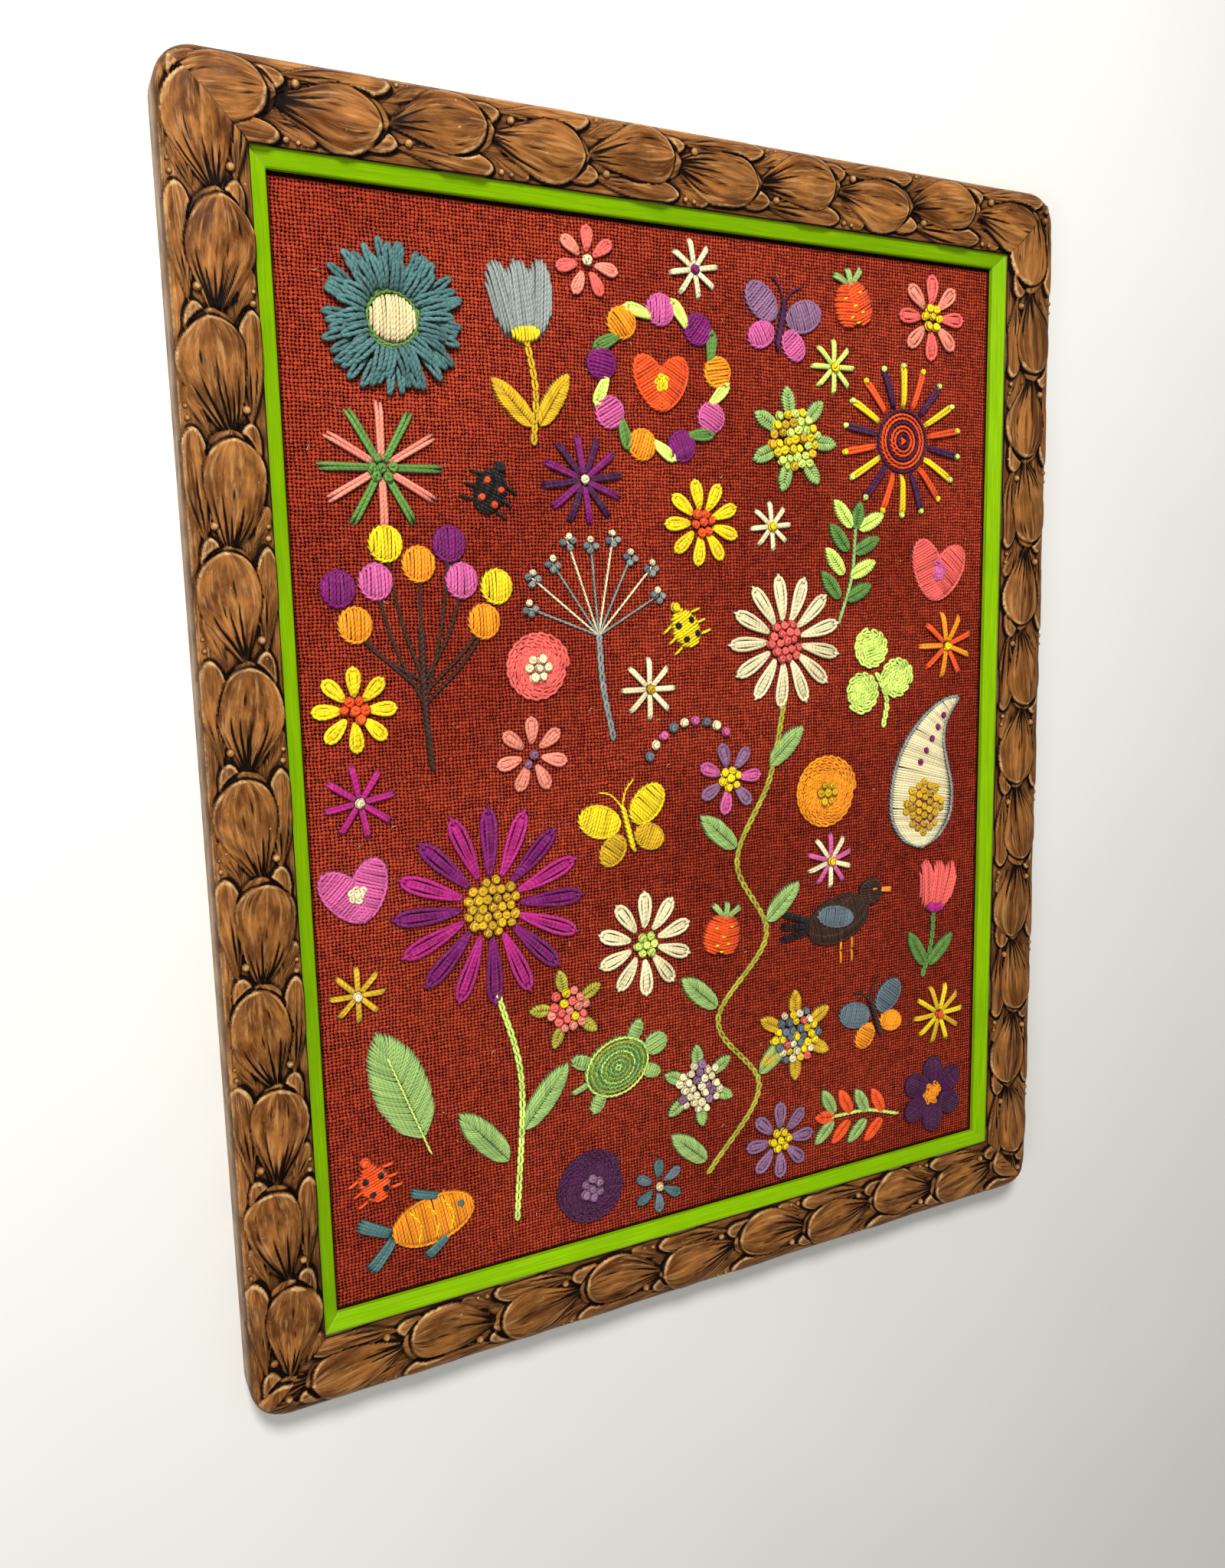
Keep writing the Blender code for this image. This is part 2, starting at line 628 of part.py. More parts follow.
def bird(count):
    body = Oval(0, 0, 0.56, 0.34, 14, KNOT_LIFT)
    head = Oval(0.29, 0.17, 0.2, 0.18, 0, KNOT_LIFT)
    wing = Oval(-0.04, 0.03, 0.32, 0.15, -12, KNOT_LIFT + 0.8)
    beak = Oval(0.43, 0.17, 0.12, 0.05, -6, PETAL_LIFT)
    tail = [Oval(-0.36, 0.06 - 0.06 * i, 0.3, 0.06, 160 + 15 * i, PETAL_LIFT) for i in range(count)]
    legs = [Stem([(x, -0.14), (x, -0.34)], FINE_WIDTH, FINE_LIFT) for x in (0.02, 0.12)]
    return [body, head, wing, beak] + tail + legs


def fish(count):
    made = [Oval(0.08, 0, 0.66, 0.38, 0, KNOT_LIFT)]
    for way in (-1, 1)[:count]:
        made.append(Oval(-0.36, 0.11 * way, 0.28, 0.14, 180 - 38 * way, PETAL_LIFT))
        made.append(Oval(0.06, 0.22 * way, 0.24, 0.1, 180 - 28 * way, PETAL_LIFT))
    return made


def turtle(count):
    shell = Oval(0, 0, 0.62, 0.5, 0, KNOT_LIFT)
    head = Oval(0.4, 0, 0.22, 0.18, 0, PETAL_LIFT)
    tail = Oval(-0.37, 0, 0.16, 0.07, 0, PETAL_LIFT)
    made = [shell, head, tail]
    for angle in (42, -42, 138, -138)[:count]:
        x, y = polar(0.36, angle)
        made.append(Oval(x, 0.83 * y, 0.2, 0.11, angle, PETAL_LIFT))
    return made


KINDS = (
    daisy, rosette, burst, star, posy, loops, spiral, arc, tulip, sprig, wreath, butterfly, strawberry,
    heart, clover, beetle, umbel, branch, paisley, vine, stalk, broad_leaf, bird, fish, turtle,
)
DRAWN = {kind.__name__: kind for kind in KINDS}


def placed_forms(motif):
    """A motif's raised forms at full size, turned and moved to their place on the cloth."""
    angle = math.radians(motif.turn)
    cos, sin = motif.size * math.cos(angle), motif.size * math.sin(angle)

    def put(x, y):
        return motif.x + cos * x - sin * y, motif.y + sin * x + cos * y

    made = []
    for form in DRAWN[motif.kind](motif.count):
        if isinstance(form, Oval):
            x, y = put(form.x, form.y)
            length, width = motif.size * form.length, motif.size * form.width
            made.append(Oval(x, y, length, width, form.turn + motif.turn, form.lift))
        else:
            made.append(form._replace(points=[put(*p) for p in form.points]))
    return made


def oval_point(oval, along, across):
    angle = math.radians(oval.turn)
    x, y = along * oval.length / 2, across * oval.width / 2
    return (
        oval.x + x * math.cos(angle) - y * math.sin(angle),
        oval.y + x * math.sin(angle) + y * math.cos(angle),
    )


def facets_of(oval):
    return next(row for row in FACETS if oval.width <= row.widest)


def oval_height(oval, x, y):
    """Height of a dome over the round that just fits inside the oval's straight-sided outline."""
    angle = math.radians(oval.turn)
    along = ((x - oval.x) * math.cos(angle) + (y - oval.y) * math.sin(angle)) / (oval.length / 2)
    across = ((y - oval.y) * math.cos(angle) - (x - oval.x) * math.sin(angle)) / (oval.width / 2)
    reach = math.cos(math.pi / facets_of(oval).points)
    return oval.lift * math.sqrt(max(0.0, 1.0 - (along**2 + across**2) / reach**2))


def stem_height(stem, x, y):
    best = 0.0
    for (ax, ay), (bx, by) in zip(stem.points, stem.points[1:]):
        run, rise = bx - ax, by - ay
        t = min(1.0, max(0.0, ((x - ax) * run + (y - ay) * rise) / (run**2 + rise**2)))
        off = math.hypot(x - ax - t * run, y - ay - t * rise) / (STEM_CORE * stem.width / 2)
        best = max(best, stem.lift * math.sqrt(max(0.0, 1.0 - off**2)))
    return best


def between(a, b, c, d, t):
    """A value at t of the way from b to c, on a soft curve through all four."""
    bend = (2 * a - 5 * b + 4 * c - d) * t**2 + (3 * b - a - 3 * c + d) * t**3
    return 0.5 * (2 * b + (c - a) * t + bend)


def smooth_line(points):
    """A soft curve through the points, each stretch cut in steps."""
    steps = 3 if len(points) > LONG_STEM else 2
    if len(points) < 3 or math.dist(points[0], points[-1]) < SHORT_STEM:
        return list(points)
    ends = [points[0]] + list(points) + [points[-1]]
    made = []
    for p0, p1, p2, p3 in zip(ends, ends[1:], ends[2:], ends[3:]):
        made += [
            tuple(between(*values, i / steps) for values in zip(p0, p1, p2, p3))
            for i in range(steps)
        ]
    return made + [tuple(points[-1])]


def stem_ring(stem):
    """The outline of a stem, with pointed ends half a width past its last points."""
    left, right, ends = [], [], []
    last = len(stem.points) - 1
    for i, (x, y) in enumerate(stem.points):
        before = stem.points[max(0, i - 1)]
        after = stem.points[min(last, i + 1)]
        run, rise = after[0] - before[0], after[1] - before[1]
        step = stem.width / 2 / math.hypot(run, rise)
        left.append((x - rise * step, y + run * step))
        right.append((x + rise * step, y - run * step))
        if i in (0, last):
            way = 1 if i else -1
            ends.append((x + way * run * step, y + way * rise * step))
    return [ends[0]] + right + [ends[1]] + left[::-1]


def embroidered_cloth(material):
    """The stretched cloth, one solid, with its worked motifs raised in its face."""
    half_x = SIGHT_WIDTH / 2 + CLOTH_TAIL
    half_y = SIGHT_HEIGHT / 2 + CLOTH_TAIL
    outline = [(-half_x, -half_y), (half_x, -half_y), (half_x, half_y), (-half_x, half_y)]
    rings, lines, spots = [], [], []
    ovals, stems = [], []
    for motif in MOTIFS:
        for form in placed_forms(motif):
            if isinstance(form, Oval):
                ovals.append(form)
                facets = facets_of(form)
                rings.append([oval_point(form, x, y) for x, y in circle(0, 0, 1, facets.points)])
                spots += [oval_point(form, along, 0.0) for along in facets.ridge]
            else:
                curve = form._replace(points=smooth_line(form.points))
                stems.append(curve)
                rings.append(stem_ring(curve))
                lines.append(list(curve.points))
    flat, faces = triangulated(outline, rings, lines, spots)

    def height(x, y):
        return max([oval_height(o, x, y) for o in ovals] + [stem_height(s, x, y) for s in stems])

    points = [(x, y, CLOTH_TOP + height(x, y)) for x, y in flat]
    corners = [min(range(len(flat)), key=lambda i: math.dist(flat[i], corner)) for corner in outline]
    under = range(len(points), len(points) + 4)
    points += [(x, y, CLOTH_TOP - CLOTH_THICKNESS) for x, y in outline]
    for i in range(4):
        j = (i + 1) % 4
        faces.append([corners[j], corners[i], under[i], under[j]])
    faces.append(list(under)[::-1])
    return mesh_object("embroidered_cloth", points, faces, material)


def build():
    clear_scene()
    for side in SIDES:
        moulding(side, painted("carved_wood_" + side.name, (0.22, 0.10, 0.035), 0.5))
        slip(side, painted("green_paint_" + side.name, (0.26, 0.55, 0.003), 0.45))
    embroidered_cloth(painted("rust_jute", (0.24, 0.026, 0.018), 0.9))


build()
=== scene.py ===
"""The looks of the framed embroidery: carved wood, green slip, jute cloth and its wool stitches.

Sizes here are millimetres, in the picture's own directions: X its width, Y its height, +Z out of its
face, from the middle of the back. MM turns them into metres when a mesh is made.
"""

import math
import random
from collections import namedtuple

import bpy
import numpy as np
from mathutils import Matrix, Vector


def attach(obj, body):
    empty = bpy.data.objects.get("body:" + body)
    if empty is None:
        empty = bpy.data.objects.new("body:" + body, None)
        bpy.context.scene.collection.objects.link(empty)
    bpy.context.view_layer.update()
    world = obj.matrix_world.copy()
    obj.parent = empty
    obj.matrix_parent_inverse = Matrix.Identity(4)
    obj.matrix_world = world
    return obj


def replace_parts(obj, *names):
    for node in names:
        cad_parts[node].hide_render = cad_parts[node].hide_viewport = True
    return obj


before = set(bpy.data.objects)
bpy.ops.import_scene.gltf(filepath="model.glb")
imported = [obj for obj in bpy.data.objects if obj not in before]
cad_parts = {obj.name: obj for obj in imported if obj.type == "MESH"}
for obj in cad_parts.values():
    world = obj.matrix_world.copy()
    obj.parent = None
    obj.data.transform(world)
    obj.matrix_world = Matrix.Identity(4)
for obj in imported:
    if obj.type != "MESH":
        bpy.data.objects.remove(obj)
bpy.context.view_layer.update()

MM = 0.001
BODY = "root"

# Opening between the mouldings, and the moulding's section
SIGHT_WIDTH = 549.0
SIGHT_HEIGHT = 698.0
MITRE_SHIFT = 0.15 * math.sqrt(2.0)
MOULDING_WIDTH = 47.0
CORNER_RADIUS = 24.0
CROWN_HEIGHT = 26.2
CROWN_PLACE = 22.0
CROWN_FALL = 2.3
CROWN_SPAN = 25.0
SHOULDER_WIDTH = 9.0
SHOULDER_FALL = 6.5
REBATE_WIDTH = 6.3
LIP_UNDERSIDE = 22.1

# The carved run, as it is built in the solids
REPEAT = 125.4
EDGE_FALL = 0.7
FULL_LIFT_AT = 0.8
FULLEST_AT = 0.64
SMALL_LEAF = 10.0
Leaf = namedtuple("Leaf", "base_along base_across tip_along tip_across half_width bow base_lift tip_lift")
LEAVES = (
    Leaf(0.0, 25.0, 66.0, 18.0, 18.0, -1.5, 0.5, 2.8),
    Leaf(62.7, 19.0, 129.0, 28.0, 18.0, 2.0, 0.5, 2.8),
    Leaf(34.0, 12.0, 75.0, 9.0, 6.5, 0.0, 0.3, 1.6),
    Leaf(96.0, 32.0, 137.5, 35.0, 6.5, 0.0, 0.3, 1.6),
    Leaf(6.0, 37.0, 71.0, 41.0, 8.0, 0.0, 0.4, 1.9),
    Leaf(69.0, 9.0, 133.0, 5.0, 7.5, 0.0, 0.4, 1.9),
)
# Lower leaves that fill in behind them, only in the fine relief: two behind the tips, four in the gaps
LOWER_LEAVES = (
    Leaf(1.0, 25.0, 70.0, 19.6, 15.5, -1.5, -0.3, 0.9),
    Leaf(63.7, 19.0, 133.0, 26.4, 15.5, 2.0, -0.3, 0.9),
    Leaf(2.0, 14.0, 29.0, 3.5, 5.0, 0.0, -0.4, 0.7),
    Leaf(9.0, 17.0, 31.0, 9.5, 4.0, 0.0, -0.4, 0.9),
    Leaf(66.0, 31.0, 94.0, 41.0, 5.0, 0.0, -0.4, 0.7),
    Leaf(73.0, 26.0, 92.0, 36.0, 4.0, 0.0, -0.4, 0.9),
)
Berry = namedtuple("Berry", "along across radius")
BERRIES = (
    Berry(80.5, 11.0, 2.6),
    Berry(143.5, 32.5, 2.6),
    Berry(75.5, 42.0, 1.9),
    Berry(82.0, 42.6, 1.5),
    Berry(137.0, 3.6, 1.9),
    Berry(143.5, 3.0, 1.5),
)
Side = namedtuple("Side", "name length start_x start_y along_x along_y phase seed")
SIDES = (
    Side("left", SIGHT_HEIGHT, -SIGHT_WIDTH / 2, -SIGHT_HEIGHT / 2, 0, 1, -24.0, 11),
    Side("top", SIGHT_WIDTH, -SIGHT_WIDTH / 2, SIGHT_HEIGHT / 2, 1, 0, 8.0, 23),
    Side("right", SIGHT_HEIGHT, SIGHT_WIDTH / 2, SIGHT_HEIGHT / 2, 0, -1, 81.5, 37),
    Side("bottom", SIGHT_WIDTH, SIGHT_WIDTH / 2, -SIGHT_HEIGHT / 2, -1, 0, 54.5, 53),
)

# The fine relief's mesh, and the cuts that only the render shows
CELL_ALONG = 0.95
CELL_ACROSS = 0.8
GROUND_DROP = -0.7  # between the leaves, below the crown
GROUND_DARKENING = 0.22  # how much darker the ground between the leaves is made
RIM_ROUND = 1.5  # width of a leaf's rounded rim
RIM_STEP = 0.5  # share of the lift that is left at the rim
GROOVE_DEPTH = 1.0
GROOVE_WIDTH = 0.5
FACET = 0.8  # fall from the ridge between a leaf's two planes
UNEVEN = 0.2  # waviness left by the gouge
BERRY_RINGS = 4
BERRY_SIDES = 10
WALL_SHARES = (0.86, 0.66, 0.44, 0.22, 0.03, 0.0)  # of the face's height, down the plain outer side
BACK_CORNERS = ((REBATE_WIDTH, 0.0), (REBATE_WIDTH, LIP_UNDERSIDE), (0.0, LIP_UNDERSIDE))

# Cloth
CLOTH_TOP = 14.0
CLOTH_BACK = 12.2
CLOTH_TAIL = 5.7
CLOTH_CELL = 12.0
CLOTH_WAVE = 0.25  # how uneven it lies

# Embroidery: each row has a kind, its place from the cloth's middle, its longest side, turn, count and wools
Motif = namedtuple("Motif", "kind x y size turn count wools")
MOTIF_ROWS = """
loops -197 267 84 0 11 teal linen moss
tulip -112 254 108 6 3 grey mustard yellow
wreath -18 243 110 0 9 pink orange violet lime moss
butterfly 76 286 68 -12 2 mauve pink plum
strawberry 138 304 44 15 2 tomato sage yellow
daisy 209 300 58 0 8 coral yellow salmon
posy 87 209 70 10 7 sage yellow lime mustard
burst 184 212 108 0 18 yellow plum tomato lime
star -208 182 76 0 12 salmon moss moss
beetle -139 172 42 -25 3 black tomato
umbel -68 82 146 4 9 grey cream slate
daisy 12 152 56 12 9 yellow tomato yellow
star 68 150 34 5 8 cream yellow cream
sprig 136 124 86 -12 4 sage moss lime
heart 219 118 50 -8 2 coral pink
branch -188 72 142 0 9 umber orange yellow pink violet
daisy -118 4 48 0 7 salmon mauve salmon
daisy 80 70 92 8 13 cream coral cream
clover 162 44 72 14 3 lime
beetle -3 84 42 30 3 yellow black
paisley 207 -36 124 0 5 cream grey violet mustard
vine 38 -143 345 0 6 olive sage
arc -2 6 66 12 9 pink cream slate
daisy -150 -92 128 0 16 violet mustard magenta
butterfly -50 -50 72 14 2 yellow mustard yellow
spiral 116 -42 54 0 3 orange mustard
star -232 -16 46 10 8 magenta cream magenta
daisy -38 -134 72 0 10 cream lime cream
bird 128 -140 104 0 3 umber orange slate black
tulip 220 -152 92 -8 3 coral moss magenta
stalk -140 -230 160 0 2 lime sage
broad_leaf -214 -206 92 20 2 sage lime
star -240 -136 36 0 8 mustard cream mustard
turtle -62 -218 82 20 4 moss sage lime olive
posy 88 -224 68 0 6 mustard coral cream slate yellow
butterfly 163 -222 66 18 2 slate orange umber
star 228 -232 50 20 10 mustard tomato yellow
fish -205 -296 86 10 2 orange teal yellow
spiral -84 -302 52 30 3 plum mauve
daisy 74 -304 58 0 8 mauve yellow mauve
sprig 148 -301 80 80 4 lime tomato sage
rosette 223 -299 62 0 6 plum orange
posy 4 -246 60 4 6 sage cream cream mauve
star -76 178 58 8 12 violet cream plum
posy -98 -170 54 12 5 olive salmon coral salmon yellow
daisy -232 40 50 0 8 yellow tomato yellow
star 229 62 52 10 9 orange yellow tomato
spiral -112 60 44 0 3 coral cream
daisy 32 -24 50 15 7 mauve yellow pink
strawberry 25 -136 42 -10 2 tomato sage yellow
star -31 42 42 0 8 cream mustard cream
beetle -237 -258 40 20 3 tomato black
heart -237 -72 42 12 2 pink cream
star 120 -94 42 0 10 pink yellow cream
daisy -70 311 42 0 7 coral cream salmon
star 121 260 38 0 8 lime yellow lime
daisy -31 -314 38 0 6 teal cream slate
star 8 314 38 10 8 cream violet cream
heart -18 241 40 0 2 tomato yellow
"""
PETAL_LIFT = 2.4
KNOT_LIFT = 3.4
STEM_LIFT = 1.8
LOOP_LIFT = 5.0
STEM_WIDTH = 4.5
FINE_WIDTH = 2.6
FINE_LIFT = 1.3

# Wool: display colours from 0 to 255
WOOL = {
    "black": (22, 18, 20),
    "umber": (58, 32, 20),
    "slate": (96, 112, 122),
    "grey": (138, 146, 142),
    "teal": (72, 112, 112),
    "linen": (222, 200, 150),
    "cream": (238, 226, 178),
    "lime": (212, 240, 112),
    "sage": (150, 184, 104),
    "moss": (92, 136, 60),
    "olive": (176, 168, 52),
    "yellow": (244, 212, 16),
    "mustard": (212, 168, 24),
    "orange": (250, 150, 16),
    "tomato": (242, 84, 22),
    "coral": (242, 100, 92),
    "salmon": (240, 140, 118),
    "pink": (208, 92, 152),
    "magenta": (176, 30, 120),
    "violet": (124, 16, 104),
    "plum": (72, 18, 66),
    "mauve": (140, 100, 134),
}
STRAND = 1.2  # radius of a wool strand as it is worked
PLY_PITCH = 6.2  # length of one turn of its plies
SATIN_PITCH = 2.1
KNOT_PITCH = 6.5
ROPE_STEP = 3.6
LINT_COUNT = 50

# A form is an oval or a stem, in shares of its motif's size, and names the stitch that it is worked in
Oval = namedtuple("Oval", "x y length width turn lift stitch colour ground", defaults=(0, 0.0))
Stem = namedtuple("Stem", "points width lift stitch colour ground", defaults=(0, 0.0))
Strand = namedtuple("Strand", "points radius colour sides twist")
WAYS = (-1, 1)  # to either side of a form's middle


def read_motif(row):
    kind, x, y, size, turn, count, *wools = row.split()
    return Motif(kind, int(x), int(y), int(size), int(turn), int(count), wools)


MOTIFS = [read_motif(row) for row in MOTIF_ROWS.strip().splitlines()]

# Meshes

VALUE_FIELDS = {"FLOAT": "value", "FLOAT_VECTOR": "vector", "FLOAT_COLOR": "color"}


def in_scene(name, data):
    made = bpy.data.objects.new(name, data)
    bpy.context.scene.collection.objects.link(made)
    return made


def mesh_piece(name, points, face_groups, material, values=(), corner_map=None):
    """A piece that rides on the frame, from points in millimetres and groups of same-sided faces."""
    mesh = bpy.data.meshes.new(name)
    mesh.vertices.add(len(points))
    mesh.vertices.foreach_set("co", (points * MM).astype(np.float32).ravel())
    corners = np.concatenate([group.ravel() for group in face_groups])
    sides = np.concatenate([np.full(len(group), group.shape[1]) for group in face_groups])
    mesh.loops.add(len(corners))
    mesh.loops.foreach_set("vertex_index", corners.astype(np.int32))
    mesh.polygons.add(len(sides))
    mesh.polygons.foreach_set("loop_start", (np.cumsum(sides) - sides).astype(np.int32))
    mesh.update(calc_edges=True)
    for label, kind, data in values:
        attribute = mesh.attributes.new(label, kind, "POINT")
        attribute.data.foreach_set(VALUE_FIELDS[kind], data.astype(np.float32).ravel())
    if corner_map is not None:
        layer = mesh.uv_layers.new(name="strand")
        layer.data.foreach_set("uv", corner_map.astype(np.float32).ravel())
    mesh.materials.append(material)
    mesh.shade_smooth()
    mesh.validate()
    piece = in_scene(name, mesh)
    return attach(piece, BODY)


def cells(grid):
    """Corners of the cells between neighbours on a grid's second and third axes."""
    return np.stack((grid[:, :-1, :-1], grid[:, 1:, :-1], grid[:, 1:, 1:], grid[:, :-1, 1:]), 3)


def squares(numbers):
    """Faces between a sheet's numbered rows and columns."""
    return cells(numbers[None]).reshape(-1, 4)[:, [0, 3, 2, 1]]


def table(*columns):
    """Columns of numbers, some of them the same all the way down, side by side."""
    return np.stack(np.broadcast_arrays(*columns), -1)


def unit(vectors):
    return vectors / np.maximum(np.linalg.norm(vectors, axis=-1, keepdims=True), 1e-9)


def spread(count):
    """Even places from -1 to 1, half a step in from both ends."""
    return [2.0 * (i + 0.5) / count - 1.0 for i in range(count)]


# Materials


def from_display(colour):
    """A display colour from 0 to 255 as the shader's linear values."""
    value = np.asarray(colour, float) / 255.0
    return np.where(value <= 0.04045, value / 12.92, ((value + 0.055) / 1.055) ** 2.4)


def tone(*colour):
    return (*from_display(colour), 1.0)


class Value:
    """A value in a material's nodes, which can stand in a sum."""

    def __init__(self, finish, socket):
        self.finish = finish
        self.socket = socket

    def __add__(self, other):
        return self.finish.math("ADD", self, other)

    def __sub__(self, other):
        return self.finish.math("SUBTRACT", self, other)

    def __rsub__(self, other):
        return self.finish.math("SUBTRACT", other, self)

    def __mul__(self, other):
        return self.finish.math("MULTIPLY", self, other)

    def __abs__(self):
        return self.finish.math("ABSOLUTE", self)


class Finish:
    """A procedural material, with short calls for the nodes that the finishes share."""

    def __init__(self, name):
        self.material = bpy.data.materials.new(name)
        self.material.use_nodes = True
        self.tree = self.material.node_tree

    def feed(self, socket, value):
        if isinstance(value, Value):
            self.tree.links.new(value.socket, socket)
        else:
            socket.default_value = value

    def node(self, kind, inputs, output=0, **settings):
        """Adds a node, and gives one of its outputs."""
        made = self.tree.nodes.new("ShaderNode" + kind)
        for key, value in settings.items():
            setattr(made, key, value)
        for key, value in inputs.items():
            self.feed(made.inputs[key], value)
        return Value(self, made.outputs[output])

    def math(self, operation, *values):
        return self.node("Math", dict(enumerate(values)), operation=operation)

    def moved(self, vector, by):
        return self.node("VectorMath", {0: vector, 1: by}, operation="ADD")

    def scaled(self, vector, factor):
        return self.node("VectorMath", {0: vector, "Scale": factor}, operation="SCALE")

    def join(self, x, y, z):
        return self.node("CombineXYZ", {0: x, 1: y, 2: z})

    def split(self, vector):
        first = self.node("SeparateXYZ", {0: vector})
        return [Value(self, socket) for socket in first.socket.node.outputs]

    def mix(self, share, first, second, blend="MIX"):
        inputs = {0: share, 6: first, 7: second}
        return self.node("Mix", inputs, 2, data_type="RGBA", blend_type=blend)

    def layered(self, colour, *layers):
        """Tones laid over a colour in turn, each by its share."""
        for share, *layer in layers:
            colour = self.mix(share, colour, tone(*layer))
        return colour

    def noise(self, place, scale, detail=2.0, roughness=0.5):
        inputs = {"Vector": place, "Scale": scale, "Detail": detail, "Roughness": roughness}
        return self.node("TexNoise", inputs)

    def range(self, value, low, high, to_low=0.0, to_high=1.0):
        inputs = {0: value, 1: low, 2: high, 3: to_low, 4: to_high}
        return self.node("MapRange", inputs, interpolation_type="SMOOTHSTEP")

    def attribute(self, name, output="Fac"):
        return self.node("Attribute", {}, output, attribute_name=name)

    def place(self):
        """The surface's place in the picture, in millimetres."""
        return self.scaled(self.node("TexCoord", {}, "Object"), 1.0 / MM)

    def bump(self, height, distance, strength=1.0):
        return self.node("Bump", {"Height": height, "Distance": distance * MM, "Strength": strength})

    def finished(self, colour, roughness, normal=None, **constants):
        """Connects the surface. Constants are set on the shader's own sockets."""
        sockets = self.tree.nodes["Principled BSDF"].inputs
        self.feed(sockets["Base Color"], colour)
        self.feed(sockets["Roughness"], roughness)
        if normal:
            self.feed(sockets["Normal"], normal)
        for key, value in constants.items():
            sockets[key.replace("_", " ")].default_value = value
        return self.material


def carved_wood():
    """Brown stained wood with soft grain and a few scuffs; painted shade at each leaf's base and pooled below
    raised leaves, dark rims and grooves of stain with painted shade, and tips paler from wear and a painted
    highlight.
    """
    f = Finish("carved_wood")
    share, length, number = f.split(f.attribute("leaf", "Vector"))
    recess_stain_and_shade, pooled_shade, ridge, plain = (f.attribute(name) for name in ("recess_stain_and_shade", "pooled_shade", "ridge", "plain"))
    place = f.place()

    def along_leaf(across_pace, along_pace):
        """A place that is drawn out along the leaf, a little wavy."""
        drawn = f.join(share * across_pace, length * along_pace, number * 61.0)
        return f.moved(drawn, f.scaled(place, 0.014))

    streaks = f.noise(along_leaf(2.0, 1.6), 1.0, 5.0, 0.62)
    grain = f.noise(along_leaf(8.0, 2.8), 1.0, 5.0, 0.6)
    blotch = f.noise(place, 0.035, 3.0, 0.6)
    speck = f.noise(place, 0.35, 4.0, 0.7)
    # Painted shade near each leaf's base, under the tip of the leaf before it
    base_shade = f.range(length, 0.05, 0.45, 1.0, 0.0) * f.range(streaks, 0.3, 0.6, 0.45, 0.12)
    # Paler raised rims towards the tips: partly wear, partly a painted highlight where light catches them
    wear_and_highlight = f.range(ridge, 0.2, 0.8) * f.range(length, 0.3, 0.8, 0.1, 0.75)
    wear_and_highlight = wear_and_highlight * f.range(speck, 0.36, 0.6, 0.3, 1.0)
    wood = f.layered(
        f.mix(f.range(streaks, 0.34, 0.66), tone(80, 43, 17), tone(155, 100, 48)),
        (f.range(blotch, 0.42, 0.66, 0.0, 0.5), 70, 40, 20),
        (f.range(grain, 0.5, 0.7, 0.0, 0.42), 200, 152, 96),
        (f.range(grain, 0.3, 0.44, 0.7, 0.0), 48, 25, 10),
        (base_shade, 46, 24, 10),
        # Painted shade pooled below the raised leaves
        (f.range(pooled_shade, 0.1, 0.9, 0.0, 0.72), 32, 15, 7),
        (wear_and_highlight, 218, 178, 124),
        (f.range(speck, 0.68, 0.73, 0.0, 0.6), 220, 186, 140),
        # Near-black outlines and grooves: stain with painted shade
        (f.range(recess_stain_and_shade, 0.05, 0.42), 15, 5, 2),
    )
    cloud = f.range(f.noise(place, 0.06, 4.0, 0.6), 0.35, 0.65)
    wood = f.mix(plain, wood, f.mix(cloud, tone(122, 92, 68), tone(156, 126, 98)))
    rough = f.range(streaks, 0.3, 0.7, 0.34, 0.52)
    height = streaks * 0.55 + grain * 0.3
    return f.finished(wood, rough, f.bump(height, 1.7), Specular_IOR_Level=0.06)


def green_paint():
    """Lime green satin paint with faint brush lines, rubbed at the mitres."""
    f = Finish("green_paint")
    place = f.place()
    x, y, z = f.split(place)
    past_x, past_y = abs(x) - SIGHT_WIDTH / 2, abs(y) - SIGHT_HEIGHT / 2
    on_side = f.math("GREATER_THAN", past_x, past_y)
    upright = f.join(x * 1.2, y * 0.03, z)
    level = f.join(x * 0.03, y * 1.2, z)
    run = f.node("Mix", {0: on_side, 4: level, 5: upright}, 1, data_type="VECTOR")
    brush = f.noise(run, 1.0, 4.0, 0.55)
    paint = f.layered(
        f.mix(f.range(brush, 0.3, 0.7), tone(112, 158, 0), tone(132, 180, 0)),
        (f.range(f.noise(place, 0.015, 3.0), 0.35, 0.7, 0.0, 0.5), 106, 152, 0),
        (f.range(f.noise(place, 0.5, 4.0, 0.7), 0.72, 0.76, 0.0, 0.5), 196, 220, 120),
        (f.range(abs(past_x - past_y), 0.25, 0.7, 0.7, 0.0), 168, 196, 84),
    )
    rough = f.range(brush, 0.3, 0.7, 0.34, 0.5)
    return f.finished(paint, rough, f.bump(brush, 0.12, 0.5), Specular_IOR_Level=0.08)


# Weave of the cloth: threads counted across the opening
WARP_THREADS = 234
WEFT_THREADS = 312
THREAD_WAVE = 0.5  # how far a thread rises and sinks, in half thicknesses
THREAD_WANDER = 3.4  # how far a thread strays from its line
SLIP_SHOWN = 9.3  # width of the slip inside the opening
TOP_SHADE = 1.2  # how much wider the painted shadow under the top slip is
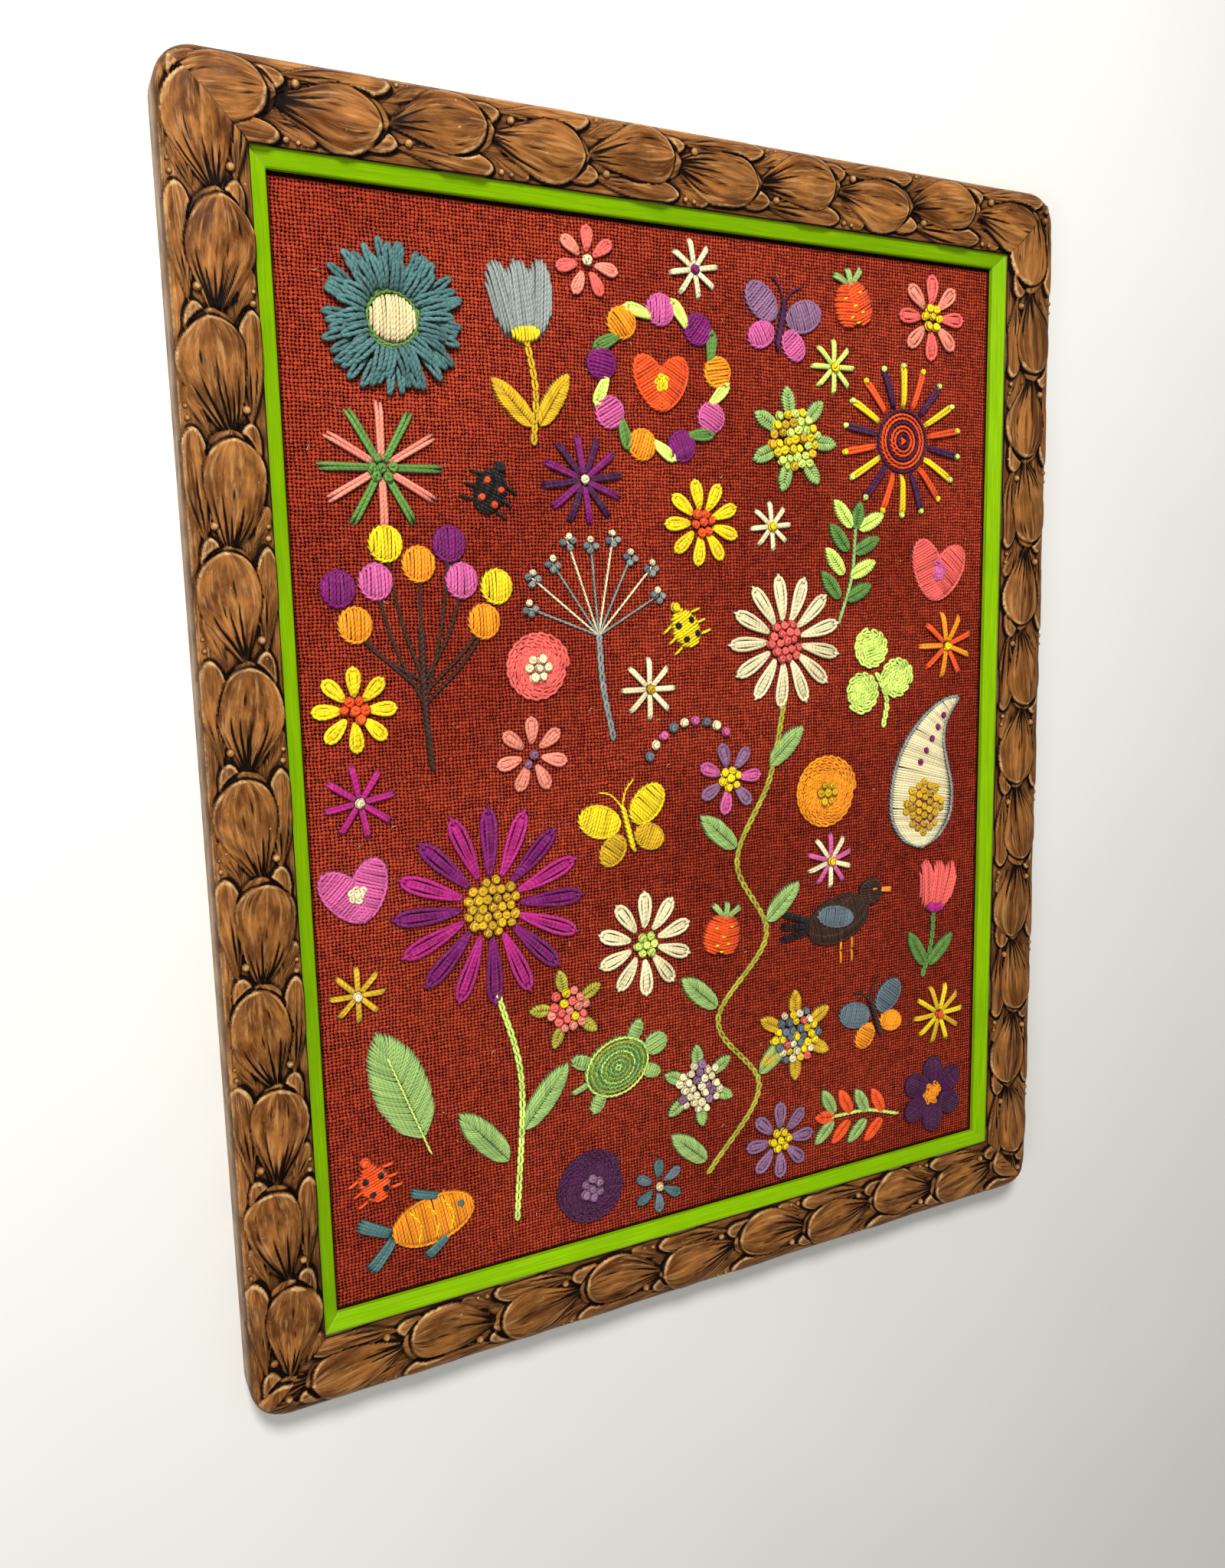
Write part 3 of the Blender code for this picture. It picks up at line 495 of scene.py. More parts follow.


def rust_jute():
    """Coarse plain weave in rust red, with uneven threads, painted shade in the dark gaps between them, pale
    fibres that also stand as painted highlights, and a painted shadow along the slip.
    """
    f = Finish("rust_jute")
    place = f.place()
    x, y, _ = f.split(place)
    wander_x = (f.noise(place, 0.09, 3.0, 0.6) - 0.5) * THREAD_WANDER
    wander_y = (f.noise(f.moved(place, (500.0, 130.0, 0.0)), 0.09, 3.0, 0.6) - 0.5) * THREAD_WANDER
    u = (x + wander_x) * (WARP_THREADS / SIGHT_WIDTH)
    v = (y + wander_y) * (WEFT_THREADS / SIGHT_HEIGHT)

    def threads(across, along, seed):
        """Height of one set of threads, below zero in its gaps, and how much each swells."""
        number = f.math("FLOOR", across)
        swell = f.noise(f.join(along * 0.22, number * 3.7, seed), 1.0)
        ratio = f.math("DIVIDE", across - number - 0.5, f.range(swell, 0.25, 0.75, 0.28, 0.46))
        body = 1.0 - ratio * ratio
        wave = f.math("SINE", along * math.pi + number * math.pi) * THREAD_WAVE
        height = f.math("SQRT", f.math("MAXIMUM", body, 0.0)) + wave
        return height - (1.0 - f.math("GREATER_THAN", body, 0.0)) * 1.5, swell

    warp_height, warp_swell = threads(u, v, 3.0)
    weft_height, weft_swell = threads(v, u + 1.0, 9.0)
    height = f.math("MAXIMUM", f.math("MAXIMUM", warp_height, weft_height), -0.6)
    on_weft = f.math("GREATER_THAN", weft_height, warp_height)
    warp_fibre = f.noise(f.join(u * 9.0, v * 1.6, 2.0), 1.0, 3.0, 0.6)
    weft_fibre = f.noise(f.join(u * 1.6, v * 9.0, 5.0), 1.0, 3.0, 0.6)
    fibre = f.node("Mix", {0: on_weft, 2: warp_fibre, 3: weft_fibre})
    swell = f.node("Mix", {0: on_weft, 2: warp_swell, 3: weft_swell})
    # Distance from the slip's inner edge, for the painted shadow that the slip casts on the cloth
    to_side = (SIGHT_WIDTH / 2 - SLIP_SHOWN) - abs(x)
    to_bottom = y + (SIGHT_HEIGHT / 2 - SLIP_SHOWN)
    to_top = (SIGHT_HEIGHT / 2 - SLIP_SHOWN - TOP_SHADE) - y
    to_slip = f.math("MINIMUM", to_side, f.math("MINIMUM", to_bottom, to_top))
    jute = f.layered(
        f.mix(f.range(swell, 0.3, 0.7), tone(124, 24, 14), tone(174, 50, 29)),
        # Pale fibres along the threads, which also stand as a painted highlight
        (f.range(fibre, 0.38, 0.74, 0.0, 0.62), 232, 116, 82),
        (f.range(f.noise(place, 0.006, 3.0), 0.35, 0.65, 0.0, 0.4), 108, 24, 16),
        # Painted shade in the gaps between the threads and on their low sides
        (f.range(height, 0.4, 1.4, 1.0, 0.0), 9, 1, 1),
        # Painted shadow along the slip's inner edge
        (f.range(to_slip, 0.6, 3.4, 0.96, 0.0), 14, 3, 3),
    )
    return f.finished(jute, 0.95, f.bump(height + fibre * 0.35, 0.55), Specular_IOR_Level=0.02)


def wool_yarn():
    """Two-ply wool in the strand's own colour: ply lines, fibre and soft sheen, with painted shade in the ply
    creases and on each strand's flanks, and painted highlights along the fibre.
    """
    f = Finish("wool_yarn")
    colour = f.attribute("wool", "Color")
    around, along, _ = f.split(f.node("UVMap", {}, uv_map="strand"))
    turns = around * 2.0 + along * (2.0 / PLY_PITCH)
    ply = abs(f.math("SINE", turns * math.pi))
    place = f.place()
    fibre_place = f.moved(f.join(turns * 3.0, along * 0.5, 0.0), f.scaled(place, 0.02))
    fibre = f.noise(fibre_place, 1.0, 3.0, 0.65)
    fuzz = f.noise(place, 1.6, 3.0, 0.7)
    facing = f.split(f.node("TexCoord", {}, "Normal"))[2]

    def darker(base, *shade):
        return f.mix(1.0, base, tone(*shade), "MULTIPLY")

    # Painted shade in the creases between the plies
    crease_shade = f.range(ply, 0.0, 0.55, 0.7, 0.0) * f.range(fuzz, 0.35, 0.6, 1.0, 0.25)
    # Painted highlight along the fibres
    fibre_highlight = f.mix(1.0, colour, tone(100, 98, 92), "ADD")
    wool = f.mix(crease_shade, colour, darker(colour, 112, 92, 92))
    wool = f.mix(f.range(fibre, 0.45, 0.78, 0.0, 0.5), wool, fibre_highlight)
    wool = f.mix(f.range(fuzz, 0.25, 0.5, 0.35, 0.0), wool, darker(colour, 150, 140, 136))
    # Painted shade on each strand's flanks, where the surface faces sideways
    wool = f.mix(f.range(facing, 0.0, 0.8, 0.9, 0.0), wool, darker(wool, 104, 84, 84))
    normal = f.bump(ply * 0.8 + fibre * 0.8, 0.42, 0.9)
    return f.finished(wool, 0.9, normal, Specular_IOR_Level=0.08, Sheen_Weight=0.08, Sheen_Roughness=0.4)


# Carved mouldings


def leaf_fullness(t):
    t = np.clip(t, 0.0, 1.0)
    rising = np.sin(math.pi / 2 * (np.minimum(t, FULLEST_AT) / FULLEST_AT) ** 1.2)
    past = np.maximum(t - FULLEST_AT, 0.0) / (1.0 - FULLEST_AT)
    falling = np.maximum(0.0, 1.0 - past**2.4) ** 0.55
    return np.where(t <= FULLEST_AT, rising, falling)


def hiding_order(leaf):
    return leaf.half_width < SMALL_LEAF, leaf.base_along


def run_of(forms, side):
    """Every copy of each form that reaches the side."""
    made = []
    for form in forms:
        for i in range(-2, int(side.length / REPEAT) + 2):
            step = side.phase + i * REPEAT
            if isinstance(form, Leaf):
                made.append(form._replace(base_along=form.base_along + step, tip_along=form.tip_along + step))
            else:
                made.append(form._replace(along=form.along + step))
    return made


def rim_distance(side, along, across):
    """Distance in plan from the frame's rounded outer outline."""
    centre = MOULDING_WIDTH - CORNER_RADIUS
    past = np.maximum(-centre - along, along - side.length - centre)
    rounded = CORNER_RADIUS - np.hypot(past, across - centre)
    return np.where((past > 0.0) & (across > centre), rounded, MOULDING_WIDTH - across)


def ground_height(side, along, across):
    crown = CROWN_HEIGHT - CROWN_FALL * ((across - CROWN_PLACE) / CROWN_SPAN) ** 2
    into = 1.0 - np.clip(rim_distance(side, along, across) / SHOULDER_WIDTH, 0.0, 1.0)
    return crown - SHOULDER_FALL * (1.0 - np.sqrt(np.maximum(0.0, 1.0 - into**2)))


def carve_leaf(leaf, along, across, rng):
    """Inside or not, height, place on the leaf and groove of one leaf's points, all a little uneven."""
    run = leaf.tip_along - leaf.base_along
    rise = leaf.tip_across - leaf.base_across
    length = math.hypot(run, rise)
    waves = [(rng.uniform(0.02, 0.05), rng.uniform(5, 10), rng.uniform(0, math.tau)) for _ in range(2)]
    lean = rng.uniform(0.88, 1.16)
    small = leaf.half_width < SMALL_LEAF

    def place(s, w):
        """Share of the length, share of the half width, and half width."""
        s, w = s - leaf.base_along, w - leaf.base_across
        t = (s * run + w * rise) / length**2
        side = (w * run - s * rise) / length - 4.0 * leaf.bow * t * (1.0 - t)
        wavy = 1.0 + sum(size * np.sin(pace * t + start + (side > 0)) for size, pace, start in waves)
        half = leaf.half_width * leaf_fullness(np.clip(t, 0.0, 1.0) ** lean) * wavy
        inside = (t > 0.0) & (t < 1.0) & (half > 0.0)
        return t, np.where(inside, side / np.where(inside, half, 1.0), 9.0), half

    t, share, half = place(along, across)
    edge = 1.0 - np.abs(share)
    step = 0.15
    slope = np.hypot(
        (1.0 - np.abs(place(along + step, across)[1]) - edge) / step,
        (1.0 - np.abs(place(along, across + step)[1]) - edge) / step,
    )
    from_rim = np.clip(edge / np.maximum(slope, 1e-3), 0.0, 20.0)
    rounding = 1.0 - np.clip(from_rim / RIM_ROUND, 0.0, 1.0)
    rim = RIM_STEP + (1.0 - RIM_STEP) * np.sqrt(np.maximum(0.0, 1.0 - rounding**2))
    lift = leaf.base_lift + (leaf.tip_lift - leaf.base_lift) * np.minimum(1.0, t / FULL_LIFT_AT)
    lift = (lift - EDGE_FALL * share**2) * rim
    lift += rng.uniform(-0.25, 0.25) * share * leaf.half_width / 15.0
    ridge_off = np.abs(share - rng.uniform(-0.3, 0.3))
    lift += FACET * (0.35 - ridge_off) * np.clip(2.5 * t * (1.0 - 0.5 * t), 0.0, 1.0) * (not small)
    for _ in range(2):
        pace_along, pace_across = rng.uniform(0.14, 0.34), rng.uniform(0.16, 0.4)
        uneven = UNEVEN * np.sin(pace_along * along + rng.uniform(0, 6))
        lift += uneven * np.sin(pace_across * across + rng.uniform(0, 6))

    cut = np.zeros_like(t)
    for middle in spread(3 if small else rng.randint(5, 8)):
        middle = middle * 0.86 + rng.uniform(-0.1, 0.1)
        reach = rng.uniform(0.45, 0.75) if small else rng.uniform(0.3, 0.62)
        bend = rng.uniform(-0.12, 0.12)
        off = (share - middle - bend * t) * half + 0.35 * np.sin(9.0 * t + 7.0 * bend)
        deep = GROOVE_DEPTH * rng.uniform(0.75, 1.1) * np.clip(1.0 - t / reach, 0.0, 1.0) ** 0.6
        deep = deep * np.clip((half - 1.0) / 4.5, 0.0, 1.0)
        wide = GROOVE_WIDTH * rng.uniform(0.8, 1.35)
        cut = np.maximum(cut, deep * np.exp(-((off / wide) ** 2)))
    for _ in range(0 if small else 2):
        middle, centre = rng.uniform(-0.75, 0.75), rng.uniform(0.5, 0.85)
        off = (share - middle) * half
        long_way = (t - centre) / rng.uniform(0.06, 0.12)
        cut = np.maximum(cut, 0.3 * np.exp(-((off / 0.6) ** 2) - long_way**2))
    return edge > 0.0, lift - cut, share, t, cut


def carved_surface(side, along, across):
    """Heights and leaf places over a side's grid of points."""
    upper, lower = random.Random(side.seed), random.Random(side.seed + 1)
    lift = np.full(along.shape, GROUND_DROP)
    share = 0.4 * np.sin(across * 0.9)
    t = along / 60.0
    number = np.zeros(along.shape)
    groove = np.zeros(along.shape)
    free = np.ones(along.shape, bool)
    for leaf in sorted(run_of(LEAVES + LOWER_LEAVES, side), key=hiding_order):
        rng = upper if leaf.base_lift > 0.0 else lower
        leaf = leaf._replace(
            tip_along=leaf.tip_along + rng.uniform(-1.0, 1.0),
            tip_across=leaf.tip_across + rng.uniform(-0.8, 0.8),
            half_width=leaf.half_width * rng.uniform(0.96, 1.03),
        )
        own = rng.random()
        reach = 0.5 * (leaf.tip_along - leaf.base_along) + 3.0
        middle = 0.5 * (leaf.tip_along + leaf.base_along)
        near = free & (np.abs(along - middle) < reach)
        if not near.any():
            continue
        inside, height, leaf_share, leaf_t, cut = carve_leaf(leaf, along[near], across[near], rng)
        rows = tuple(axis[inside] for axis in np.nonzero(near))
        lift[rows] = height[inside]
        share[rows] = leaf_share[inside]
        t[rows] = leaf_t[inside]
        groove[rows] = cut[inside]
        number[rows] = own
        free[rows] = False
    fade = np.clip(rim_distance(side, along, across) / SHOULDER_WIDTH, 0.0, 1.0)
    height = ground_height(side, along, across) + lift * (0.25 + 0.75 * fade)
    return height, np.stack([share, t, number], -1), groove, free.astype(float)


def blurred(values, times):
    for _ in range(times):
        padded = np.pad(values, 1, mode="edge")
        values = 0.5 * values + 0.125 * (
            padded[:-2, 1:-1] + padded[2:, 1:-1] + padded[1:-1, :-2] + padded[1:-1, 2:]
        )
    return values


def outer_outline(side, u):
    """Points of the frame's outer outline at shares u of its length from mitre to mitre."""
    centre = MOULDING_WIDTH - CORNER_RADIUS
    bend = CORNER_RADIUS * math.pi / 4
    straight = side.length + 2.0 * centre
    run = u * (straight + 2.0 * bend)
    first = np.clip(run / bend, 0.0, 1.0) * math.pi / 4
    last = np.clip((run - bend - straight) / bend, 0.0, 1.0) * math.pi / 4
    flat = np.clip(run - bend, 0.0, straight)
    along = np.where(run < bend, -centre - CORNER_RADIUS * np.cos(math.pi / 4 + first), flat - centre)
    along = np.where(run > bend + straight, side.length + centre + CORNER_RADIUS * np.sin(last), along)
    across = np.where(run < bend, centre + CORNER_RADIUS * np.sin(math.pi / 4 + first), MOULDING_WIDTH)
    across = np.where(run > bend + straight, centre + CORNER_RADIUS * np.cos(last), across)
    return along, across


def on_side(side, points):
    """Points of a side's own run, in the picture's directions."""
    along, across, height = points[..., 0], points[..., 1], points[..., 2]
    x = side.start_x + side.along_x * along - side.along_y * across
    y = side.start_y + side.along_y * along + side.along_x * across
    return np.stack([x, y, height], -1)


def dome(radius):
    """Points of a small closed dome round the origin, and its triangles, squares and foot."""
    fall = math.radians(100.0) * np.arange(1, BERRY_RINGS + 1)[:, None] / BERRY_RINGS
    turn = math.tau * np.arange(BERRY_SIDES) / BERRY_SIDES
    out = radius * np.sin(fall)
    rings = table(out * np.cos(turn), out * np.sin(turn), radius * np.cos(fall))
    points = np.vstack([[(0.0, 0.0, radius)], rings.reshape(-1, 3)])
    numbers = np.arange(1, len(points)).reshape(BERRY_RINGS, BERRY_SIDES)
    closed = np.hstack([numbers, numbers[:, :1]])
    triangles = table(0, closed[0, :-1], closed[0, 1:])
    return points, triangles, cells(closed[None]).reshape(-1, 4), numbers[-1:, ::-1]


def carved_face(side):
    """A side's carved face: rows from the opening out, each point with the columns that moulding names."""
    columns = int(round((side.length + 2 * MOULDING_WIDTH) / CELL_ALONG))
    rows = int(round(MOULDING_WIDTH / CELL_ACROSS))
    u = np.linspace(0.0, 1.0, 2 * columns + 1)
    v = np.linspace(0.0, 1.0, 2 * rows + 1)[:, None]
    out_along, out_across = outer_outline(side, u)
    along = u * side.length + v * (out_along - u * side.length) + MITRE_SHIFT * (1.0 - 2.0 * u)
    across = v * out_across
    height, leaf, groove, ground = carved_surface(side, along, across)
    height, groove, ground = blurred(height, 5), blurred(groove, 2), blurred(ground, 5)
    along, across, height, groove, ground, leaf = (
        grid[::2, ::2] for grid in (along, across, height, groove, ground, leaf)
    )
    height[0] -= 0.35
    height[-1] -= 0.2
    soft = blurred(height, 7)
    # Soft painted shade that pools below the raised leaves, plus a darker tone on the bare ground between
    # them
    pooled_shade = np.clip((blurred(soft, 45) - height) / 1.3 + GROUND_DARKENING * ground, 0.0, 1.0)
    # Dark in hollows below the soft surface and in the carved grooves: stain with painted shade
    recess_stain_and_shade = np.clip((soft - height) / 0.48, 0.0, 1.0)
    recess_stain_and_shade = np.clip(recess_stain_and_shade + 1.1 * groove / GROOVE_DEPTH, 0.0, 1.0)
    ridge = np.clip((height - soft) / 0.5, 0.0, 1.0) * np.clip(1.0 - 2.0 * groove, 0.0, 1.0)
    plain = np.zeros_like(height)
    plain[-2:] = [[0.35], [0.8]]
    return np.dstack([along, across, height, leaf, recess_stain_and_shade, pooled_shade, ridge, plain])


def moulding(side, material):
    """One carved length of the frame, closed at its sides, back, rebate and mitres.

    Each point's columns are its place, its place on the leaf, recess, pool, ridge and plain.
    """
    face = carved_face(side)
    u = np.linspace(0.0, 1.0, face.shape[1])
    outlines = [(face[-1, :, 0], face[-1, :, 1], face[-1, :, 2] * share) for share in WALL_SHARES]
    for across, height in BACK_CORNERS:
        along = u * (side.length + 2.0 * across) - across + MITRE_SHIFT * (1.0 - 2.0 * u)
        outlines.append((along, across, height))
    grain = np.linspace(-1.0, 1.0, len(outlines))
    backs = [
        table(*outline, share, u * side.length / 50.0, 0.37, 0.0, 0.0, 0.0, 1.0)
        for outline, share in zip(outlines, grain)
    ]
    grid = np.concatenate([face, backs])
    numbers = np.arange(grid.shape[0] * grid.shape[1]).reshape(grid.shape[:2])
    rows = [grid.reshape(numbers.size, -1)]
    groups = {4: [squares(np.vstack([numbers, numbers[:1]]))], 3: [], BERRY_SIDES: []}
    count = numbers.size
    for i, berry in enumerate(run_of(BERRIES, side)):
        room = min(berry.across, berry.along + berry.across, side.length + berry.across - berry.along)
        rim = float(rim_distance(side, berry.along, berry.across))
        if room < 1.0 or rim < 2.0:
            continue
        sunk = 1.3 * berry.radius * max(0.0, 1.0 - rim / SHOULDER_WIDTH)
        base = float(ground_height(side, np.array(berry.along), np.array(berry.across)))
        shape, *dome_faces = dome(berry.radius)
        shape = shape + (berry.along, berry.across, base + 0.15 * berry.radius - sunk)
        rise = (shape[:, 2] - base + 0.7 * sunk) / (1.15 * berry.radius)
        # Berries: painted shade at each foot, and a ridge on top for the paler wear and painted highlight
        recess_stain_and_shade, ridge = np.clip(0.75 - 1.6 * rise, 0.0, 1.0), np.clip(1.2 * rise - 0.45, 0.0, 0.6)
        rows.append(table(*shape.T, rise, shape[:, 0] / 9.0, i * 0.13, recess_stain_and_shade, 0.0, ridge, 0.0))
        for faces in dome_faces:
            groups[faces.shape[1]].append(faces + count)
        count += len(shape)
    rows = np.concatenate(rows)
    faces = [np.concatenate(group) for group in groups.values()] + [numbers[:, :1].T, numbers[::-1, -1:].T]
    values = [("leaf", "FLOAT_VECTOR", rows[:, 3:6])]
    for column, label in enumerate(("recess_stain_and_shade", "pooled_shade", "ridge", "plain"), 6):
        values.append((label, "FLOAT", rows[:, column]))
    piece = mesh_piece("carved_" + side.name, on_side(side, rows), faces, material, values)
    piece.data.set_sharp_from_angle(angle=math.radians(62.0))
    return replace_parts(piece, "frame_" + side.name)


# Cloth


def cloth_sheet(material):
    """The stretched cloth: a thin sheet, a little uneven, with a plain back."""
    half_x = SIGHT_WIDTH / 2 + CLOTH_TAIL
    half_y = SIGHT_HEIGHT / 2 + CLOTH_TAIL
    columns = int(round(2 * half_x / CLOTH_CELL))
    rows = int(round(2 * half_y / CLOTH_CELL))
    x, y = np.meshgrid(np.linspace(-half_x, half_x, columns + 1), np.linspace(-half_y, half_y, rows + 1))
    room = np.clip(np.minimum(half_x - np.abs(x), half_y - np.abs(y)) / 40.0, 0.0, 1.0)
    wave = np.sin(x / 61.0 + 0.7) * np.sin(y / 83.0) + 0.6 * np.sin(x / 23.0 + y / 37.0)
    top = table(x, y, CLOTH_TOP - 0.1 + CLOTH_WAVE * 0.3 * wave * room)
    numbers = np.arange(x.size).reshape(x.shape)
    rim = np.concatenate([numbers[0, :-1], numbers[:-1, -1], numbers[-1, :0:-1], numbers[:0:-1, 0]])
    after = np.roll(rim, -1)
    edge = np.stack([after, rim, rim + x.size, after + x.size], -1)
    faces = np.concatenate([squares(numbers), squares(numbers)[:, ::-1] + x.size, edge])
    points = np.concatenate([top, table(x, y, CLOTH_BACK)]).reshape(-1, 3)
    piece = mesh_piece("jute_cloth", points, [faces], material)
    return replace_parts(piece, "embroidered_cloth")


# Strands of wool


def tubes(strands):
    """Points, faces, colours and strand maps of closed tubes along every strand."""
    alike = {}
    for strand in strands:
        alike.setdefault((len(strand.points), strand.sides, strand.twist), []).append(strand)
    points, colours, groups = [], [], {}
    count = 0
    for (steps, sides, twist), group in alike.items():
        path = np.array([strand.points for strand in group])
        radius = np.array([np.broadcast_to(strand.radius, steps) for strand in group])
        tangent = unit(np.gradient(path, axis=1))
        side = unit(np.cross(tangent[:, 0], (0.0, 0.0, 1.0)) + (1e-6, 0.0, 0.0))
        frames = []
        for way in tangent.swapaxes(0, 1):
            side = unit(side - way * np.sum(side * way, -1, keepdims=True))
            frames.append(side)
        side = np.stack(frames, 1)
        up = np.cross(side, tangent)
        reach = np.linalg.norm(np.diff(path, axis=1), axis=-1)
        along = np.pad(np.cumsum(reach, axis=1), ((0, 0), (1, 0)))[..., None]
        turn = math.tau * np.arange(sides) / sides
        lobe = 1.0 + twist * np.cos(2.0 * turn + math.tau * along / PLY_PITCH)
        ring = side[:, :, None] * np.cos(turn)[:, None] + up[:, :, None] * np.sin(turn)[:, None]
        made = path[:, :, None] + radius[..., None, None] * lobe[..., None] * ring
        points.append(made.reshape(-1, 3))
        colours.append(np.repeat([strand.colour for strand in group], steps * sides, axis=0))
        numbers = np.arange(made.size // 3).reshape(-1, steps, sides) + count
        closed = np.concatenate([numbers, numbers[..., :1]], -1)
        strand_map = table(np.arange(sides + 1) / sides, along)
        caps = np.concatenate([numbers[:, 0], numbers[:, -1, ::-1]])
        groups.setdefault(4, []).append((cells(closed).reshape(-1, 4), cells(strand_map).reshape(-1, 2)))
        groups.setdefault(sides, []).append((caps, np.zeros((caps.size, 2))))
        count += numbers.size
    ordered = [groups[size] for size in sorted(groups)]
    faces = [np.concatenate([made for made, _ in group]) for group in ordered]
    corner_map = np.concatenate([corners for group in ordered for _, corners in group])
    return np.concatenate(points), faces, np.concatenate(colours), corner_map


def smooth_line(points, step):
    """A soft curve through the points, cut in even steps: its points and its directions."""
    points = np.asarray(points, float)
    ends = np.vstack([2 * points[0] - points[1], points, 2 * points[-1] - points[-2]])
    made = []
    t = np.linspace(0.0, 1.0, 12, endpoint=False)[:, None]
    for a, b, c, d in zip(ends, ends[1:], ends[2:], ends[3:]):
        bend = (2 * a - 5 * b + 4 * c - d) * t**2 + (3 * b - a - 3 * c + d) * t**3
        made.append(0.5 * (2 * b + (c - a) * t + bend))
    dense = np.vstack(made + [points[-1:]])
    reach = np.pad(np.cumsum(np.linalg.norm(np.diff(dense, axis=0), axis=1)), (1, 0))
    at = np.linspace(0.0, reach[-1], max(2, int(round(reach[-1] / step)) + 1))
    line = np.stack([np.interp(at, reach, column) for column in dense.T], -1)
    return line, unit(np.gradient(line, axis=0))


def turned(x, y, angle):
    """Places turned about the origin by an angle in radians."""
    cos, sin = math.cos(angle), math.sin(angle)
    return np.stack([x * cos - y * sin, x * sin + y * cos], -1)


def spot(form, u, v):
    """Places on the cloth at shares u and v of a form's half length and half width."""
    x, y = np.asarray(u) * form.length / 2, np.asarray(v) * form.width / 2
    return turned(x, y, math.radians(form.turn)) + (form.x, form.y)


